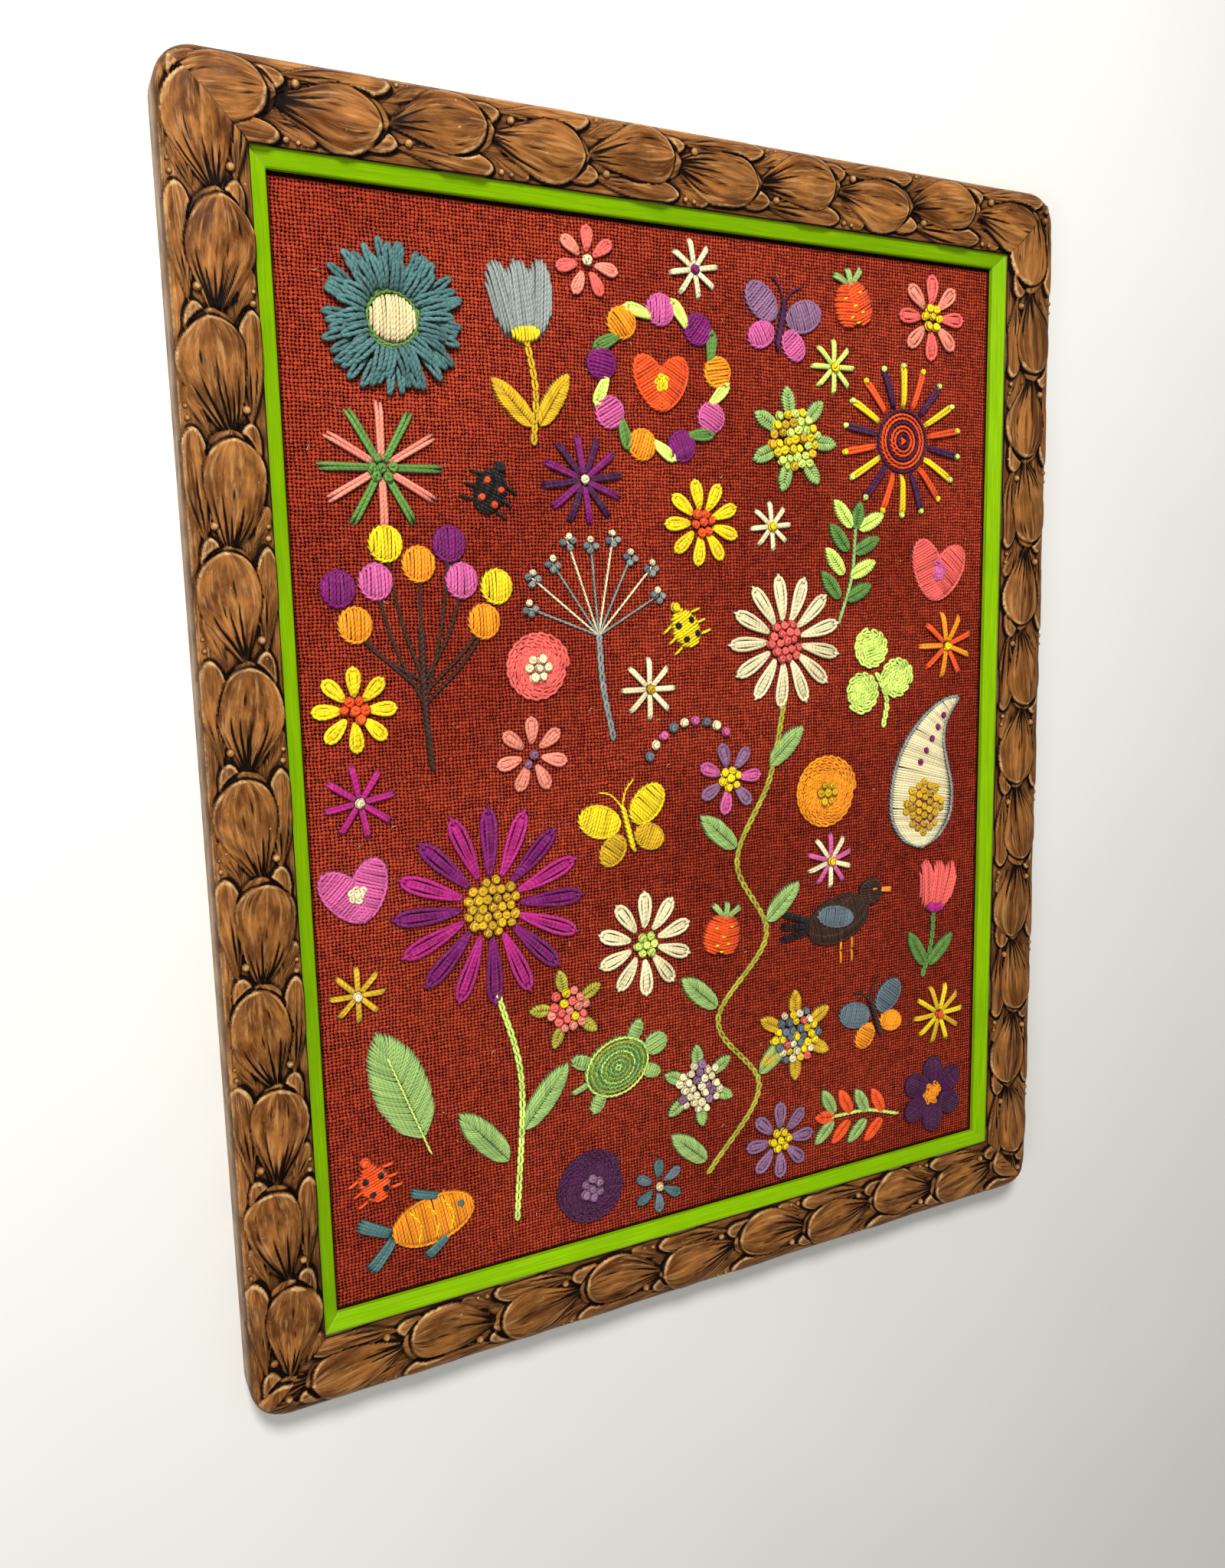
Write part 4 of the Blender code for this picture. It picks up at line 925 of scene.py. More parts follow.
class Work:
    """The strands of one motif, in its own wools. A form's stitch names the method that works it."""

    def __init__(self, wools, seed):
        self.wools = [from_display(WOOL[name]) for name in wools]
        self.rng = random.Random(seed)
        self.strands = []

    def strand(self, line, height, colour, radius, sides=6, twist=0.0):
        """A strand that is a little lighter or darker than its wool."""
        wool = self.wools[colour % len(self.wools)]
        shade = wool * self.rng.uniform(0.76, 1.16) + self.rng.uniform(0.0, 0.008)
        self.strands.append(Strand(np.column_stack([line, height]), radius, (*shade, 1.0), sides, twist))

    def flat(self, form, a, b, rise, radius, count, bow=0.0):
        """A straight stitch from a to b whose ends go down through the cloth."""
        t = np.linspace(0.0, 1.0, count)
        way = unit(np.array([a[1] - b[1], b[0] - a[0]]))
        line = a + (b - a) * t[:, None] + way * (bow * 4.0 * t * (1.0 - t))[:, None]
        arch = (1.0 - np.abs(2.0 * t - 1.0) ** 4) ** 0.5
        height = CLOTH_TOP - 0.5 + (rise + 0.5 + form.ground) * arch
        self.strand(line, height, form.colour, radius * (0.72 + 0.28 * arch))

    def lay(self, form, start, end, *how):
        """A straight stitch between two places in shares of an oval."""
        self.flat(form, spot(form, *start), spot(form, *end), *how)

    def coil(self, x, y, colour, size, ground):
        """French knot: a short coil of strand that turns down through its own middle."""
        t = np.linspace(0.0, 1.0, 15)
        start = self.rng.uniform(0, math.tau)
        squash = self.rng.uniform(0.78, 1.0)
        lean = self.rng.uniform(0, math.pi)
        out = size * (0.34 - 0.17 * t)
        out[-1] = 0.03 * size
        angle = start + 1.9 * math.tau * t
        line = turned(out * np.cos(angle), out * squash * np.sin(angle), lean) + (x, y)
        height = CLOTH_TOP + ground + size * (0.08 + 0.32 * np.minimum(1.0, 1.25 * t))
        height[-1] -= 0.2 * size
        self.strand(line, height, colour, 0.185 * size)

    def rope(self, form):
        """Stem stitch: short slanting strands, each starting beside the middle of the one before."""
        line, way = smooth_line(form.points, ROPE_STEP)
        for p, q, d in zip(line, line[1:], way):
            reach = 0.45 * (q - p)
            slant = np.array([-d[1], d[0]]) * (0.2 * form.width)
            rise = 0.8 + 0.15 * self.rng.random()
            self.flat(form, p - reach - slant, q + reach + slant, rise, 0.27 * form.width, 5)

    def chain(self, form, link=6.4):
        """Chain stitch: loops that each start inside the end of the one before."""
        line, way = smooth_line(form.points, link)
        turn = np.linspace(0.0, math.tau, 11)
        for p, q, d in zip(line, line[1:], way):
            length = np.linalg.norm(q - p) * 1.16
            x = length * 0.5 * (1.0 - np.cos(turn))
            wide = form.width * 0.34 * self.rng.uniform(0.9, 1.1)
            y = wide * np.sin(turn) * (0.5 + 0.5 * x / length) ** 0.6
            dip = 1.2 * np.clip(1.0 - x / (0.4 * length), 0.0, 1.0)
            height = CLOTH_TOP + form.ground + 0.95 - dip + 0.25 * np.clip(x / length - 0.6, 0.0, 1.0)
            line_round = p + x[:, None] * d + y[:, None] * np.array([-d[1], d[0]])
            self.strand(line_round, height, form.colour, 0.25 * form.width)

    def line(self, form):
        """Short straight stitches end to end."""
        points, _ = smooth_line(form.points, 9.0)
        for a, b in zip(points, points[1:]):
            self.flat(form, a, b, 1.1, 0.42 * form.width, 6)

    def between(self, form):
        """Close strands across a shape, from its left edge, listed first, to its right edge."""
        half = len(form.points) // 2
        left, _ = smooth_line(form.points[:half], 1.0)
        right, _ = smooth_line(form.points[half:], 1.0)
        count = int(round(max(len(left), len(right)) / SATIN_PITCH))
        for share in np.linspace(0.01, 0.99, count):
            a = left[int(share * (len(left) - 1))]
            b = right[int(share * (len(right) - 1))]
            self.flat(form, a, b, form.lift * min(1.0, 0.07 * np.linalg.norm(b - a)), STRAND, 9)

    def satin(self, form, lengthwise=False, pad=0.55):
        """Close parallel strands over a padded oval."""
        run, width = (form.width, form.length) if lengthwise else (form.length, form.width)
        for place in spread(max(3, int(round(run / SATIN_PITCH)))):
            place *= 0.97
            half = math.sqrt(1.0 - place**2) * self.rng.uniform(0.95, 1.05)
            t = np.linspace(-1.0, 1.0, 5 if half * width < 8 else 7 if half * width < 16 else 9)
            slant = 0.5 * self.rng.choice(WAYS) * t
            along = place + (self.rng.uniform(-0.4, 0.4) + slant) / run
            u, v = (half * t, along) if lengthwise else (along, half * t)
            crown = np.sqrt(np.maximum(0.0, 1.0 - t**2)) * math.sqrt(1.0 - 0.7 * place**2)
            height = CLOTH_TOP + form.ground + 0.75 + pad * form.lift * crown
            height[0] = height[-1] = CLOTH_TOP + form.ground - 0.6
            self.strand(spot(form, u, v), height, form.colour, STRAND * self.rng.uniform(0.94, 1.06), 5)

    def lengthwise(self, form):
        self.satin(form, True)

    def rim(self, form, colour, share, width, rise=0.0):
        """A rope worked round an oval."""
        around = math.pi * (form.length + form.width) / 2 * share
        turn = np.linspace(0.0, math.tau, max(9, int(around / 5)))
        line = spot(form, share * np.cos(turn), share * np.sin(turn))
        self.rope(Stem(line, width, 0.0, "rope", colour, form.ground + rise))

    def outlined(self, form):
        self.satin(form, form.length < 1.3 * form.width)
        self.rim(form, form.colour, 0.96, 3.6, 0.5)

    def ring(self, form):
        self.rim(form, form.colour, 1.0, 3.4)
        self.rim(form, form.colour, 0.9, 3.4, 0.4)

    def rings(self, form, colours):
        """Concentric rounds of laid wool."""
        count = max(2, int(min(form.length, form.width) / 5.4))
        for i in range(count):
            share = 1.0 - (i + 0.3) / count
            self.rim(form, colours[i % len(colours)], share, 3.0, form.lift * 0.25 * (i / count))

    def banded(self, form):
        self.rings(form, (form.colour, form.colour + 1, form.colour + 1))

    def shell(self, form):
        self.satin(form, pad=0.5)
        self.rings(form._replace(ground=form.ground + 1.4), (2, 3, 1))

    def petal(self, form):
        """Lazy daisy: a long loop held at its tip, with strands laid inside."""
        turn = np.linspace(0.0, math.tau, 15)
        u = -np.cos(turn)
        v = (1.0 - 1.5 / max(form.width, 3.0)) * np.sin(turn) * (0.3 + 0.7 * (u + 1.0) / 2.0)
        dip = np.clip(-0.55 - u, 0.0, 1.0) / 0.45
        height = CLOTH_TOP + form.ground + 1.1 + 0.3 * form.lift * (1.0 - u**2) - 1.6 * dip
        self.strand(spot(form, u, v), height, form.colour, 1.35)
        count = max(1, int(round((form.width - 2.0) / 3.4)))
        for v in np.linspace(-0.36, 0.36, count) if count > 1 else (0.0,):
            self.lay(form, (-0.95, 0.3 * v), (0.93, 0.62 * v), 1.0 + 0.3 * form.lift, 1.3, 7)
        self.lay(form, (0.8, 0.0), (1.14, 0.0), 1.9, 1.1, 5)

    def rays(self, form):
        """Straight strands laid side by side along a narrow form."""
        for place in spread(max(2, int(round(form.width / 3.2)))):
            v = place * 0.74
            start = -1.0 + self.rng.uniform(-0.05, 0.05)
            end = 1.0 - 0.16 * v**2 + self.rng.uniform(-0.07, 0.05)
            self.lay(form, (start, 0.6 * v), (end, v), 1.6, 1.5, 7)

    def fishbone(self, form):
        """Slanting strands that meet along a leaf's rib, up to its point."""
        count = max(4, int(round(form.length / 2.1)))
        for i in range(count):
            u = -1.0 + 1.62 * i / (count - 1)
            end = min(1.0, u + 0.36 + 0.1 * (i / count))
            half = max(0.0, 1.0 - abs(0.985 * end) ** 2.2) ** 0.7
            rise = 0.8 + 0.45 * form.lift * (1.0 - 0.6 * u**2)
            for way in WAYS:
                start = (u + self.rng.uniform(-0.02, 0.02), -0.05 * way)
                tip = (end, way * half * self.rng.uniform(0.92, 1.0))
                self.lay(form, start, tip, rise, 1.12, 6, 0.5 * way)
        self.lay(form, (0.6, 0.0), (1.04, 0.0), 1.3, 1.1, 5)

    def knot(self, form):
        size = max(5.2, 0.5 * (form.length + form.width))
        self.coil(form.x, form.y, form.colour, min(size, 8.5), form.ground)

    def cluster(self, form):
        """Four small knots close together."""
        for i in range(4):
            x, y = polar(3.6, 90 * i + self.rng.uniform(-20, 20))
            self.coil(form.x + x, form.y + y, i, 5.6, 0.0)

    def seed(self, form):
        self.lay(form, (-1.0, 0.0), (1.0, 0.0), 1.2, 0.9, 5)

    def knots(self, form, colours=None):
        """French knots packed over an oval."""
        rows = int(form.width / KNOT_PITCH / 0.87) + 2
        columns = int(form.length / KNOT_PITCH) + 2
        for j in range(-rows, rows + 1):
            for i in range(-columns, columns + 1):
                x = KNOT_PITCH * (i + 0.5 * (j % 2)) + self.rng.uniform(-0.7, 0.7)
                y = KNOT_PITCH * 0.87 * j + self.rng.uniform(-0.7, 0.7)
                u, v = 2.0 * x / form.length, 2.0 * y / form.width
                if math.hypot(u, v) > 1.0 - 1.2 / min(form.length, form.width):
                    continue
                rise = form.ground + 0.35 * form.lift * math.sqrt(1.0 - u * u - v * v)
                colour = self.rng.choice(colours or (form.colour,))
                self.coil(*spot(form, u, v), colour, self.rng.uniform(7.0, 8.4), rise)

    def mixed(self, form):
        self.knots(form, range(1, len(self.wools)))

    def spiral(self, form):
        """A round worked in chain stitch from its rim to its middle."""
        radius = 0.5 * min(form.length, form.width) - 1.6
        turns = max(1.0, radius / 3.9)
        t = np.linspace(0.0, 1.0, int(turns * 14) + 6)
        out = radius * (1.0 - t) + 0.8
        angle = math.radians(form.turn) + turns * math.tau * t
        x, y = out * np.cos(angle), out * np.sin(angle)
        if form.length == form.width:
            line = np.stack([form.x + x, form.y + y], -1)
        else:
            line = spot(form, 0.92 * x / radius, 0.92 * y / radius)
        self.satin(form._replace(length=0.7 * form.length, width=0.7 * form.width, lift=0.4))
        outer = out > 5.0
        ground = form.ground + 0.2
        if outer.sum() > 1:
            self.chain(Stem(line[outer], 4.4, 0.0, "chain", form.colour, ground), 6.2)
        self.chain(Stem(line[~outer], 4.0, 0.0, "chain", form.colour, ground), 4.0)
        self.coil(form.x, form.y, form.colour, 4.4, ground)

    def pile(self, form):
        """Long loops of thick wool in two tiers, that stand up and fall outward."""
        t = np.linspace(0.0, 1.0, 26)
        out = np.sin(math.pi * t) ** 0.9
        for start, tip, count, raised in ((-0.15, 1.0, 4, 0.4), (-0.85, 0.42, 3, 0.85)):
            for place in spread(count):
                v = place * 0.95 + self.rng.uniform(-0.12, 0.12)
                reach = tip + self.rng.uniform(-0.22, 0.12)
                u = start + self.rng.uniform(-0.1, 0.1) + (reach - start) * out
                half = 4.6 / form.width * self.rng.uniform(0.8, 1.15)
                lean = self.rng.uniform(-0.3, 0.3)
                across = v * (0.72 + 0.28 * out) + lean * out
                across = across - half * np.cos(math.pi * t) * (0.55 + 0.45 * out)
                rise = form.lift * raised * np.sin(math.pi * np.clip(0.86 * out, 0.0, 1.0)) + 1.1
                rise = rise + self.rng.uniform(-0.2, 0.5) * out
                rise[0] = rise[-1] = -0.8
                height = CLOTH_TOP + form.ground + rise
                self.strand(spot(form, u, across), height, form.colour, 1.42, 7, 0.2)


# Motifs, drawn in shares of their size as in the solids


def polar(radius, angle):
    return radius * math.cos(math.radians(angle)), radius * math.sin(math.radians(angle))


def petals(count, radius, length, width, lift, stitch, colours=(0,), turn=90.0):
    """Ovals set round a middle, pointing outward."""
    angles = [turn + 360.0 * i / count for i in range(count)]
    colours = [colours[i % len(colours)] for i in range(count)]
    return [Oval(*polar(radius, a), length, width, a, lift, stitch, c) for a, c in zip(angles, colours)]


def middle(width, stitch, colour):
    return Oval(0, 0, width, width, 0, KNOT_LIFT, stitch, colour)


def fan(count, reach):
    """Angles either side of straight up."""
    return [90 + reach * (2 * i / (count - 1) - 1) for i in range(count)]


def dots(places, width, stitch, colour, ground):
    """Small round forms on top of a larger one."""
    return [Oval(x, y, width, width, 0, 1.0, stitch, colour, ground) for x, y in places]


def daisy(count):
    width = min(1.86 / count, 0.24)
    return petals(count, 0.33, 0.34, width, PETAL_LIFT, "petal", (0, 2)) + [middle(0.3, "knots", 1)]


def rosette(count):
    return petals(count, 0.32, 0.36, 0.3, PETAL_LIFT, "outlined") + [middle(0.3, "spiral", 1)]


def burst(count):
    made = petals(count, 0.36, 0.28, 0.07, PETAL_LIFT, "rays", (0, 1, 2))
    tips = petals(count, 0.49, 0.05, 0.05, KNOT_LIFT, "knot", (3, 3, 0))
    return made + tips + [middle(0.42, "banded", 1)]


def star(count):
    return petals(count, 0.27, 0.46, 0.1, PETAL_LIFT, "rays", (0, 2)) + [middle(0.2, "knots", 1)]


def posy(count):
    return petals(count, 0.38, 0.27, 0.16, PETAL_LIFT, "fishbone") + [middle(0.62, "mixed", 1)]


def loops(count):
    made = petals(count, 0.33, 0.34, 0.2, LOOP_LIFT, "pile")
    return made + [middle(0.34, "satin", 1), middle(0.4, "ring", 2)]


def spiral(count):
    return [Oval(0, 0, 1, 1, 0, 0.75 * PETAL_LIFT, "spiral"), middle(1 / count, "knots", 1)]


def arc(count):
    places = [polar(0.6, angle) for angle in fan(count, 52)]
    return [Oval(x, y - 0.42, 0.12, 0.12, 0, KNOT_LIFT, "knot", i % 3) for i, (x, y) in enumerate(places)]


def tulip(count):
    return [
        Stem([(0, 0.1), (0.02, -0.2), (-0.03, -0.5)], STEM_WIDTH, STEM_LIFT, "chain", 1),
        *[Oval(0.13 * way, -0.27, 0.35, 0.13, 90 - 38 * way, PETAL_LIFT, "fishbone", 1) for way in WAYS],
        *[
            Oval(0.11 * i, 0.29, 0.42, 0.17, 90 - 9 * i, PETAL_LIFT, "lengthwise", 0, 0.5 * (i == 0))
            for i in (-1, 1, 0)[:count]
        ],
        Oval(0, 0.1, 0.18, 0.1, 0, PETAL_LIFT, "satin", 2, 0.8),
    ]


def sprig(count):
    return [
        Stem([(0, -0.5), (0.05, -0.1), (0, 0.32)], STEM_WIDTH, STEM_LIFT, "rope"),
        Oval(0, 0.41, 0.22, 0.13, 90, PETAL_LIFT, "fishbone", 1),
        *[
            Oval(0.15 * way, -0.21 + 0.2 * i, 0.28, 0.13, 90 - 52 * way, PETAL_LIFT, "fishbone", 1 + i % 2)
            for i in range(count)
            for way in WAYS
        ],
    ]


def wreath(count):
    fruit = petals(count, 0.4, 0.18, 0.18, KNOT_LIFT, "outlined", (0, 1, 2))
    between = petals(count, 0.4, 0.2, 0.09, PETAL_LIFT, "petal", (3, 4), 90.0 + 180.0 / count)
    return fruit + [form._replace(turn=form.turn + 55) for form in between]


def butterfly(count):
    made = []
    for way in WAYS:
        feeler = [(0, 0.2), (0.08 * way, 0.34), (0.17 * way, 0.4)][: count + 1]
        made += [
            Oval(0.26 * way, 0.14, 0.44, 0.3, 32 * way, PETAL_LIFT, "outlined"),
            Oval(0.2 * way, -0.17, 0.32, 0.24, -38 * way, PETAL_LIFT, "outlined", 1),
            Stem(feeler, FINE_WIDTH, FINE_LIFT, "rope", 2),
        ]
    return made + [Stem([(0, -0.24), (0, 0.2)], 6.0, KNOT_LIFT, "rope", 2, 1.4)]


def strawberry(count):
    seeds = ((-0.16, 0.1), (0.14, 0.14), (0.0, -0.04), (-0.1, -0.2), (0.12, -0.16), (0.0, -0.3))
    return [
        *[Oval(0.1 * way, 0, 0.72, 0.52, 90 + 14 * way, KNOT_LIFT, "satin") for way in WAYS],
        *dots(seeds, 0.06, "seed", 2, 2.4),
        *[Oval(0.16 * i, 0.4, 0.3, 0.14, 90 - 50 * i, KNOT_LIFT, "rays", 1, 0.6) for i in range(-1, count)],
    ]


def heart(count):
    halves = [Oval(0.17 * way, 0, 0.98, 0.54, 90 - 31 * way, PETAL_LIFT, "outlined") for way in WAYS[:count]]
    return halves + dots([(0, -0.02)], 0.3, "spiral", 1, 1.6)


def clover(count):
    made = petals(count, 0.27, 0.42, 0.42, PETAL_LIFT, "spiral")
    return made + [Stem([(0, 0), (0.06, -0.3), (-0.04, -0.56)], STEM_WIDTH, STEM_LIFT, "chain")]


def beetle(count):
    heights = [0.14 - 0.2 * i for i in range(count)]
    spots = ((-0.12, 0.06), (0.13, 0.02), (-0.1, -0.2), (0.12, -0.22))
    return [
        *[Stem([(-0.4, y - 0.06), (0, y), (0.4, y - 0.06)], FINE_WIDTH, FINE_LIFT, "line") for y in heights],
        Oval(0, -0.06, 0.66, 0.5, 90, KNOT_LIFT, "satin"),
        Oval(0, 0.33, 0.22, 0.24, 90, KNOT_LIFT, "knot"),
        *dots(spots, 0.13, "knot", 1, 1.9),
    ]


def umbel(count):
    fork = (0, -0.02)
    made = [Stem([(0.03, -0.5), (0, -0.25), fork], STEM_WIDTH, STEM_LIFT, "chain")]
    for i, angle in enumerate(fan(count, 68)):
        x, y = polar(0.44 if i % 2 else 0.4, angle)
        tip = (0.86 * x, fork[1] + y)
        made.append(Stem([fork, tip], FINE_WIDTH, STEM_LIFT, "rope", i % 2))
        made.append(Oval(*tip, 0.07, 0.07, 0, KNOT_LIFT, "cluster"))
    return made


def branch(count):
    made = [Stem([(0.02, -0.5), (0, -0.2), (0, 0.1)], 1.3 * STEM_WIDTH, STEM_LIFT, "rope")]
    for i, angle in enumerate(fan(count, 82)):
        x, y = polar(0.4 if i % 2 else 0.29, angle)
        root = (0, -0.22 + 0.05 * (i % 3))
        tip = (x, 0.06 + y)
        bend = (0.62 * tip[0], 0.45 * (root[1] + tip[1]))
        made.append(Stem([root, bend, tip], 0.7 * STEM_WIDTH, STEM_LIFT, "rope"))
        made.append(Oval(tip[0], tip[1] + 0.03, 0.15, 0.14, 90, KNOT_LIFT, "outlined", 1 + i % 4))
    return made


# The paisley's left and right edges, each from its foot to its tip
PAISLEY_LEFT = (
    (-0.01, -0.46), (-0.14, -0.4), (-0.23, -0.27), (-0.24, -0.1), (-0.2, 0.08), (-0.11, 0.24), (0.02, 0.37),
    (0.16, 0.45), (0.27, 0.47),
)
PAISLEY_RIGHT = (
    (0.01, -0.46), (0.14, -0.4), (0.23, -0.27), (0.24, -0.1), (0.2, 0.06), (0.17, 0.19), (0.18, 0.3),
    (0.23, 0.39), (0.28, 0.45),
)


def paisley(count):
    places = [(-0.03 + 0.045 * i, 0.08 + 0.07 * i) for i in range(count)]
    return [
        Stem(PAISLEY_LEFT + PAISLEY_RIGHT, 1, PETAL_LIFT, "between"),
        Stem(PAISLEY_LEFT + PAISLEY_RIGHT[::-1], 4.2, STEM_LIFT, "rope", 1, 0.6),
        *dots(places, 0.05, "knot", 2, 1.8),
        Oval(0, -0.2, 0.36, 0.3, 90, KNOT_LIFT, "knots", 3, 0.6),
        Oval(0, -0.2, 0.26, 0.2, 90, KNOT_LIFT, "spiral", 2, 1.8),
    ]


def vine(count):
    points = [(x, i / count - 0.5) for i, x in enumerate((-0.08, 0.05, -0.05, 0.07, 0.0, 0.08, 0.12))]
    made = [Stem(points, STEM_WIDTH, STEM_LIFT, "chain")]
    for i, (x, y) in enumerate(points[:count]):
        way = WAYS[i % 2]
        made.append(Oval(x + 0.044 * way, y + 0.068, 0.11, 0.046, 90 - 48 * way, PETAL_LIFT, "fishbone", 1))
    return made


def stalk(count):
    return [
        Stem([(-0.05, 0.5), (0.04, 0.1), (0.0, -0.5)], STEM_WIDTH, STEM_LIFT, "chain"),
        *[
            Oval(0.14 * way + 0.01, -0.05 + 0.06 * way, 0.32, 0.12, 90 - 40 * way, PETAL_LIFT, "fishbone", 1)
            for way in WAYS[:count]
        ],
    ]


def broad_leaf(count):
    made = [Oval(0, 0.06, 0.86, 0.2 * count, 90, PETAL_LIFT, "fishbone")]
    return made + [Stem([(0, 0.3), (0, -0.5)], FINE_WIDTH, KNOT_LIFT, "rope", 1, 1.4)]


def bird(count):
    return [
        *[Oval(-0.36, 0.06 - 0.06 * i, 0.3, 0.06, 160 + 15 * i, PETAL_LIFT, "rays", 3) for i in range(count)],
        *[Stem([(x, -0.14), (x, -0.34)], FINE_WIDTH, FINE_LIFT, "line", 1) for x in (0.02, 0.12)],
        Oval(0.43, 0.17, 0.12, 0.05, -6, PETAL_LIFT, "rays", 1),
        Oval(0, 0, 0.56, 0.34, 14, KNOT_LIFT, "outlined"),
        Oval(0.29, 0.17, 0.2, 0.18, 0, KNOT_LIFT, "outlined", 0, 0.3),
        Oval(-0.04, 0.03, 0.32, 0.15, -12, 2.0, "outlined", 2, 2.2),
        *dots([(0.31, 0.19)], 0.05, "seed", 1, 2.6),
    ]


def fish(count):
    made = []
    for way in WAYS[:count]:
        made.append(Oval(-0.36, 0.11 * way, 0.28, 0.14, 180 - 38 * way, PETAL_LIFT, "rays", 1))
        made.append(Oval(0.06, 0.22 * way, 0.24, 0.1, 180 - 28 * way, PETAL_LIFT, "rays", 1))
    made.append(Oval(0.08, 0, 0.66, 0.38, 0, KNOT_LIFT, "outlined"))
    for x in (-0.08, 0.06, 0.18):
        made.append(Stem([(x, 0.13), (x + 0.05, 0), (x, -0.13)], FINE_WIDTH, 1.0, "rope", 2, 2.2))
    return made + dots([(0.3, 0.05)], 0.06, "knot", 1, 1.8)


def turtle(count):
    feet = [(*polar(0.36, angle), angle) for angle in (42, -42, 138, -138)[:count]]
    return [
        Oval(0.4, 0, 0.22, 0.18, 0, PETAL_LIFT, "outlined", 1),
        Oval(-0.37, 0, 0.16, 0.07, 0, PETAL_LIFT, "rays", 1),
        *[Oval(x, 0.83 * y, 0.2, 0.11, angle, PETAL_LIFT, "outlined", 1) for x, y, angle in feet],
        Oval(0, 0, 0.62, 0.5, 0, KNOT_LIFT, "shell"),
    ]


KINDS = (
    daisy, rosette, burst, star, posy, loops, spiral, arc, tulip, sprig, wreath, butterfly, strawberry,
    heart, clover, beetle, umbel, branch, paisley, vine, stalk, broad_leaf, bird, fish, turtle,
)
DRAWN = {kind.__name__: kind for kind in KINDS}


def placed_forms(motif):
    """A motif's forms at full size, turned and moved to their place on the cloth."""
    angle = math.radians(motif.turn)
    cos, sin = motif.size * math.cos(angle), motif.size * math.sin(angle)

    def put(x, y):
        return motif.x + cos * x - sin * y, motif.y + sin * x + cos * y

    for form in DRAWN[motif.kind](motif.count):
        if isinstance(form, Oval):
            x, y = put(form.x, form.y)
            yield form._replace(
                x=x, y=y, length=motif.size * form.length, width=motif.size * form.width,
                turn=form.turn + motif.turn,
            )
        else:
            yield form._replace(points=[put(*p) for p in form.points])


def wool_piece(name, work, material):
    """One piece of all the strands of a work."""
    points, faces, colours, corner_map = tubes(work.strands)
    values = (("wool", "FLOAT_COLOR", colours),)
    piece = mesh_piece(name, points, faces, material, values, corner_map)
    return piece


def stitched(motif, number, material):
    """One motif as a piece of wool strands."""
    work = Work(motif.wools, 100 + number)
    for form in placed_forms(motif):
        getattr(work, form.stitch)(form)
    return wool_piece(f"stitched_{motif.kind}_{number:02d}", work, material)


def lint(material):
    """Short pale fibres that lie about on the cloth."""
    work = Work(["cream"], 7)
    t = np.linspace(-1.0, 1.0, 5)
    for _ in range(LINT_COUNT):
        x = work.rng.uniform(-0.46, 0.46) * SIGHT_WIDTH
        y = work.rng.uniform(-0.46, 0.46) * SIGHT_HEIGHT
        angle = work.rng.uniform(0, math.tau)
        bend = work.rng.uniform(-0.9, 0.9)
        half = work.rng.uniform(0.8, 2.2)
        line = turned(half * t, half * bend * t**2, angle) + (x, y)
        height = CLOTH_TOP + 0.4 + 0.5 * work.rng.random() * (1.0 - t**2)
        work.strand(line, height, 0, 0.2, 4)
    return wool_piece("wool_lint", work, material)


# Stage

CAMERA_PLACE = (-416.5, 100.0, 721.5)
CAMERA_AIM = (-63.8, -18.7, 21.8)
CAMERA_ROLL = 1.35  # degrees, clockwise as the camera sees it
FOCAL_PIXELS = 1560.0
IMAGE_HEIGHT = 2048.0
SENSOR = 36.0


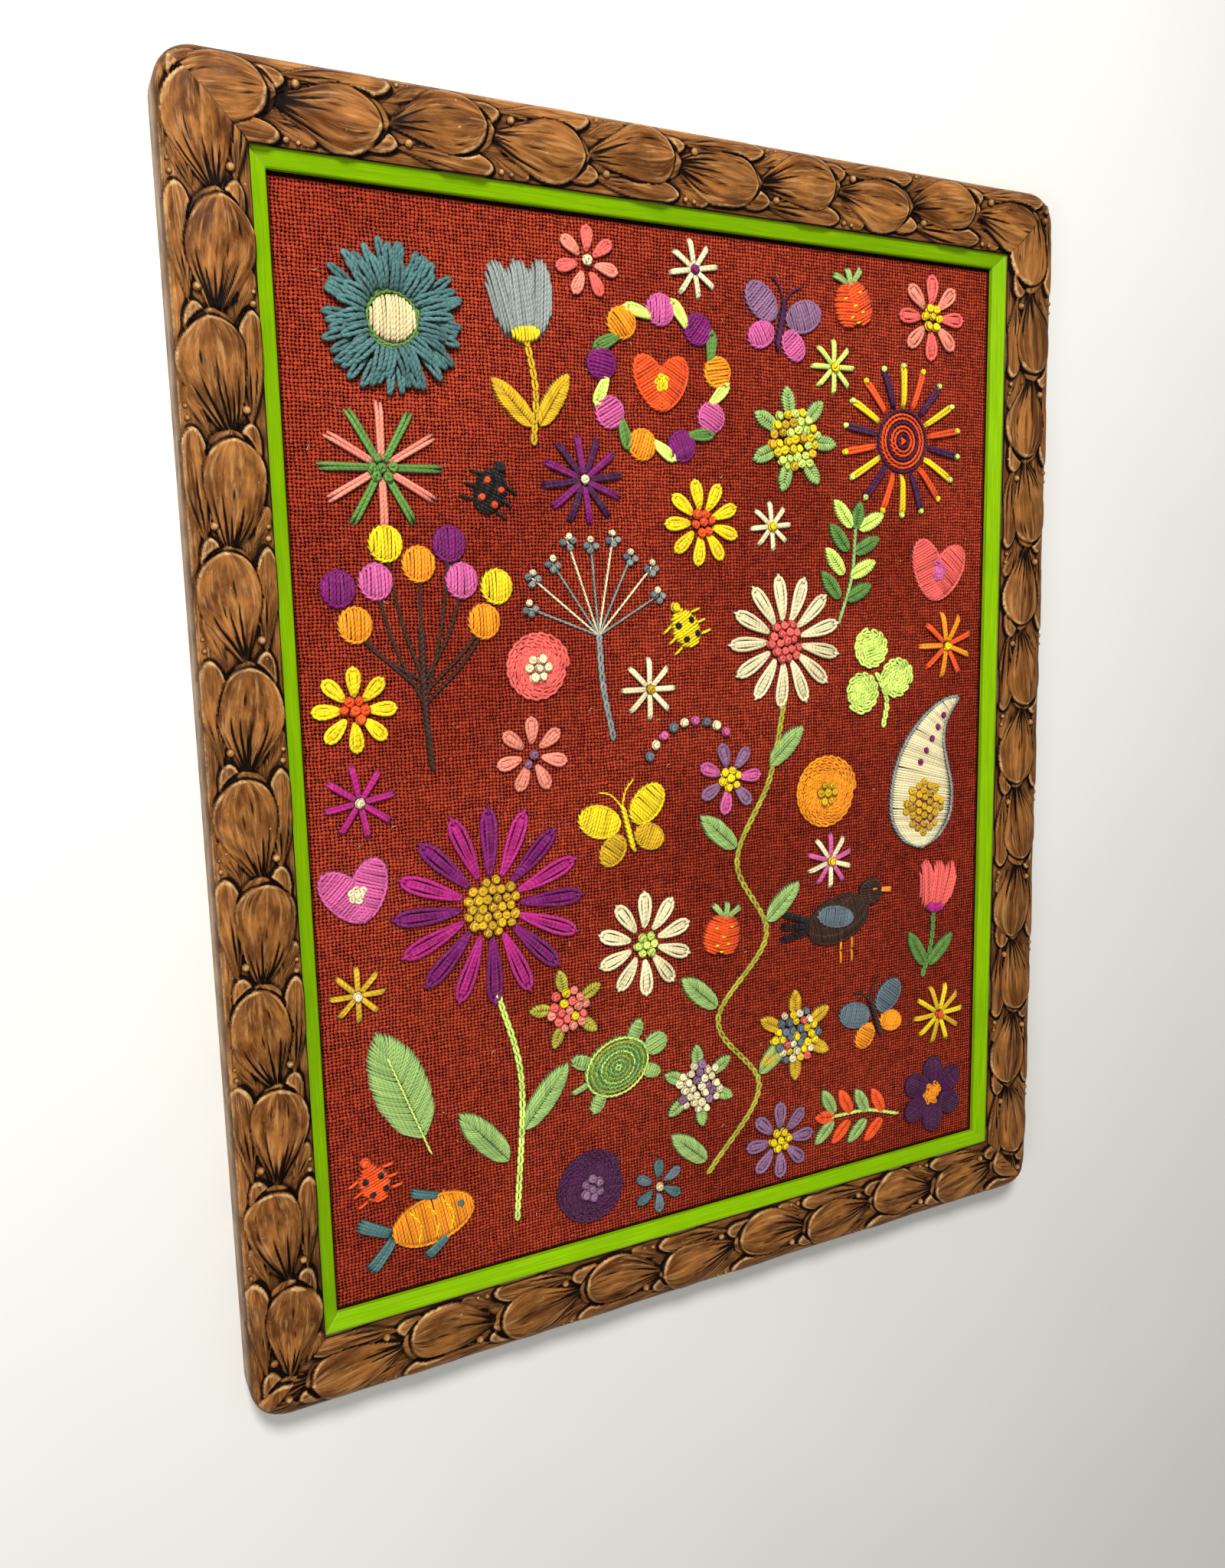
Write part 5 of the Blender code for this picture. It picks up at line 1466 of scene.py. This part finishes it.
def camera():
    data = bpy.data.cameras.new("camera")
    data.sensor_width = SENSOR
    data.lens = SENSOR * FOCAL_PIXELS / IMAGE_HEIGHT
    data.clip_start = 0.01
    data.clip_end = 50.0
    place = Vector(CAMERA_PLACE) * MM
    ahead = (Vector(CAMERA_AIM) * MM - place).normalized()
    level = ahead.cross(Vector((0.0, 1.0, 0.0))).normalized()
    upright = level.cross(ahead)
    roll = math.radians(CAMERA_ROLL)
    up = upright * math.cos(roll) + level * math.sin(roll)
    right = ahead.cross(up)
    made = in_scene("camera", data)
    made.matrix_world = Matrix.Translation(place) @ Matrix((right, up, -ahead)).transposed().to_4x4()
    bpy.context.scene.camera = made


def area_light(name, place, aim, size, power, colour=(1.0, 1.0, 1.0)):
    data = bpy.data.lights.new(name, "AREA")
    data.shape = "DISK"
    data.size = size
    data.energy = power
    data.color = colour
    made = in_scene(name, data)
    made.location = place
    made.rotation_euler = (Vector(aim) - Vector(place)).to_track_quat("-Z", "Y").to_euler()


def floor():
    """A pale floor under the picture."""
    f = Finish("floor")
    soft = f.noise(f.place(), 0.004, 2.0, 0.5)
    material = f.finished(f.mix(soft, tone(214, 214, 210), tone(223, 223, 219)), 0.85)
    mesh = bpy.data.meshes.new("floor")
    reach = 6.0
    corners = [(-reach, -reach, 0.0), (reach, -reach, 0.0), (reach, reach, 0.0), (-reach, reach, 0.0)]
    mesh.from_pydata(corners, [], [(0, 1, 2, 3)])
    mesh.materials.append(material)
    piece = in_scene("floor", mesh)


def studio():
    world = bpy.data.worlds.new("studio")
    world.use_nodes = True
    shade = world.node_tree.nodes["Background"].inputs
    shade["Color"].default_value = (1.0, 0.985, 0.95, 1.0)
    shade["Strength"].default_value = 0.34
    bpy.context.scene.world = world
    bpy.context.scene.view_settings.view_transform = "Standard"
    area_light("key", (-0.6, 1.3, 1.4), (0.0, 0.0, 0.0), 0.5, 50.0, (1.0, 0.98, 0.95))
    area_light("fill", (-1.6, -0.2, 1.4), (0.0, 0.0, 0.0), 1.0, 14.0, (1.0, 0.99, 0.97))


def main():
    camera()
    studio()
    floor()
    wood = carved_wood()
    for side in SIDES:
        moulding(side, wood)
    paint = green_paint()
    for side in SIDES:
        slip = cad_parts["slip_" + side.name]
        slip.data.materials.clear()
        slip.data.materials.append(paint)
    cloth = cloth_sheet(rust_jute())
    wool = wool_yarn()
    work = [stitched(motif, number, wool) for number, motif in enumerate(MOTIFS, 1)]
    work.append(lint(wool))


main()
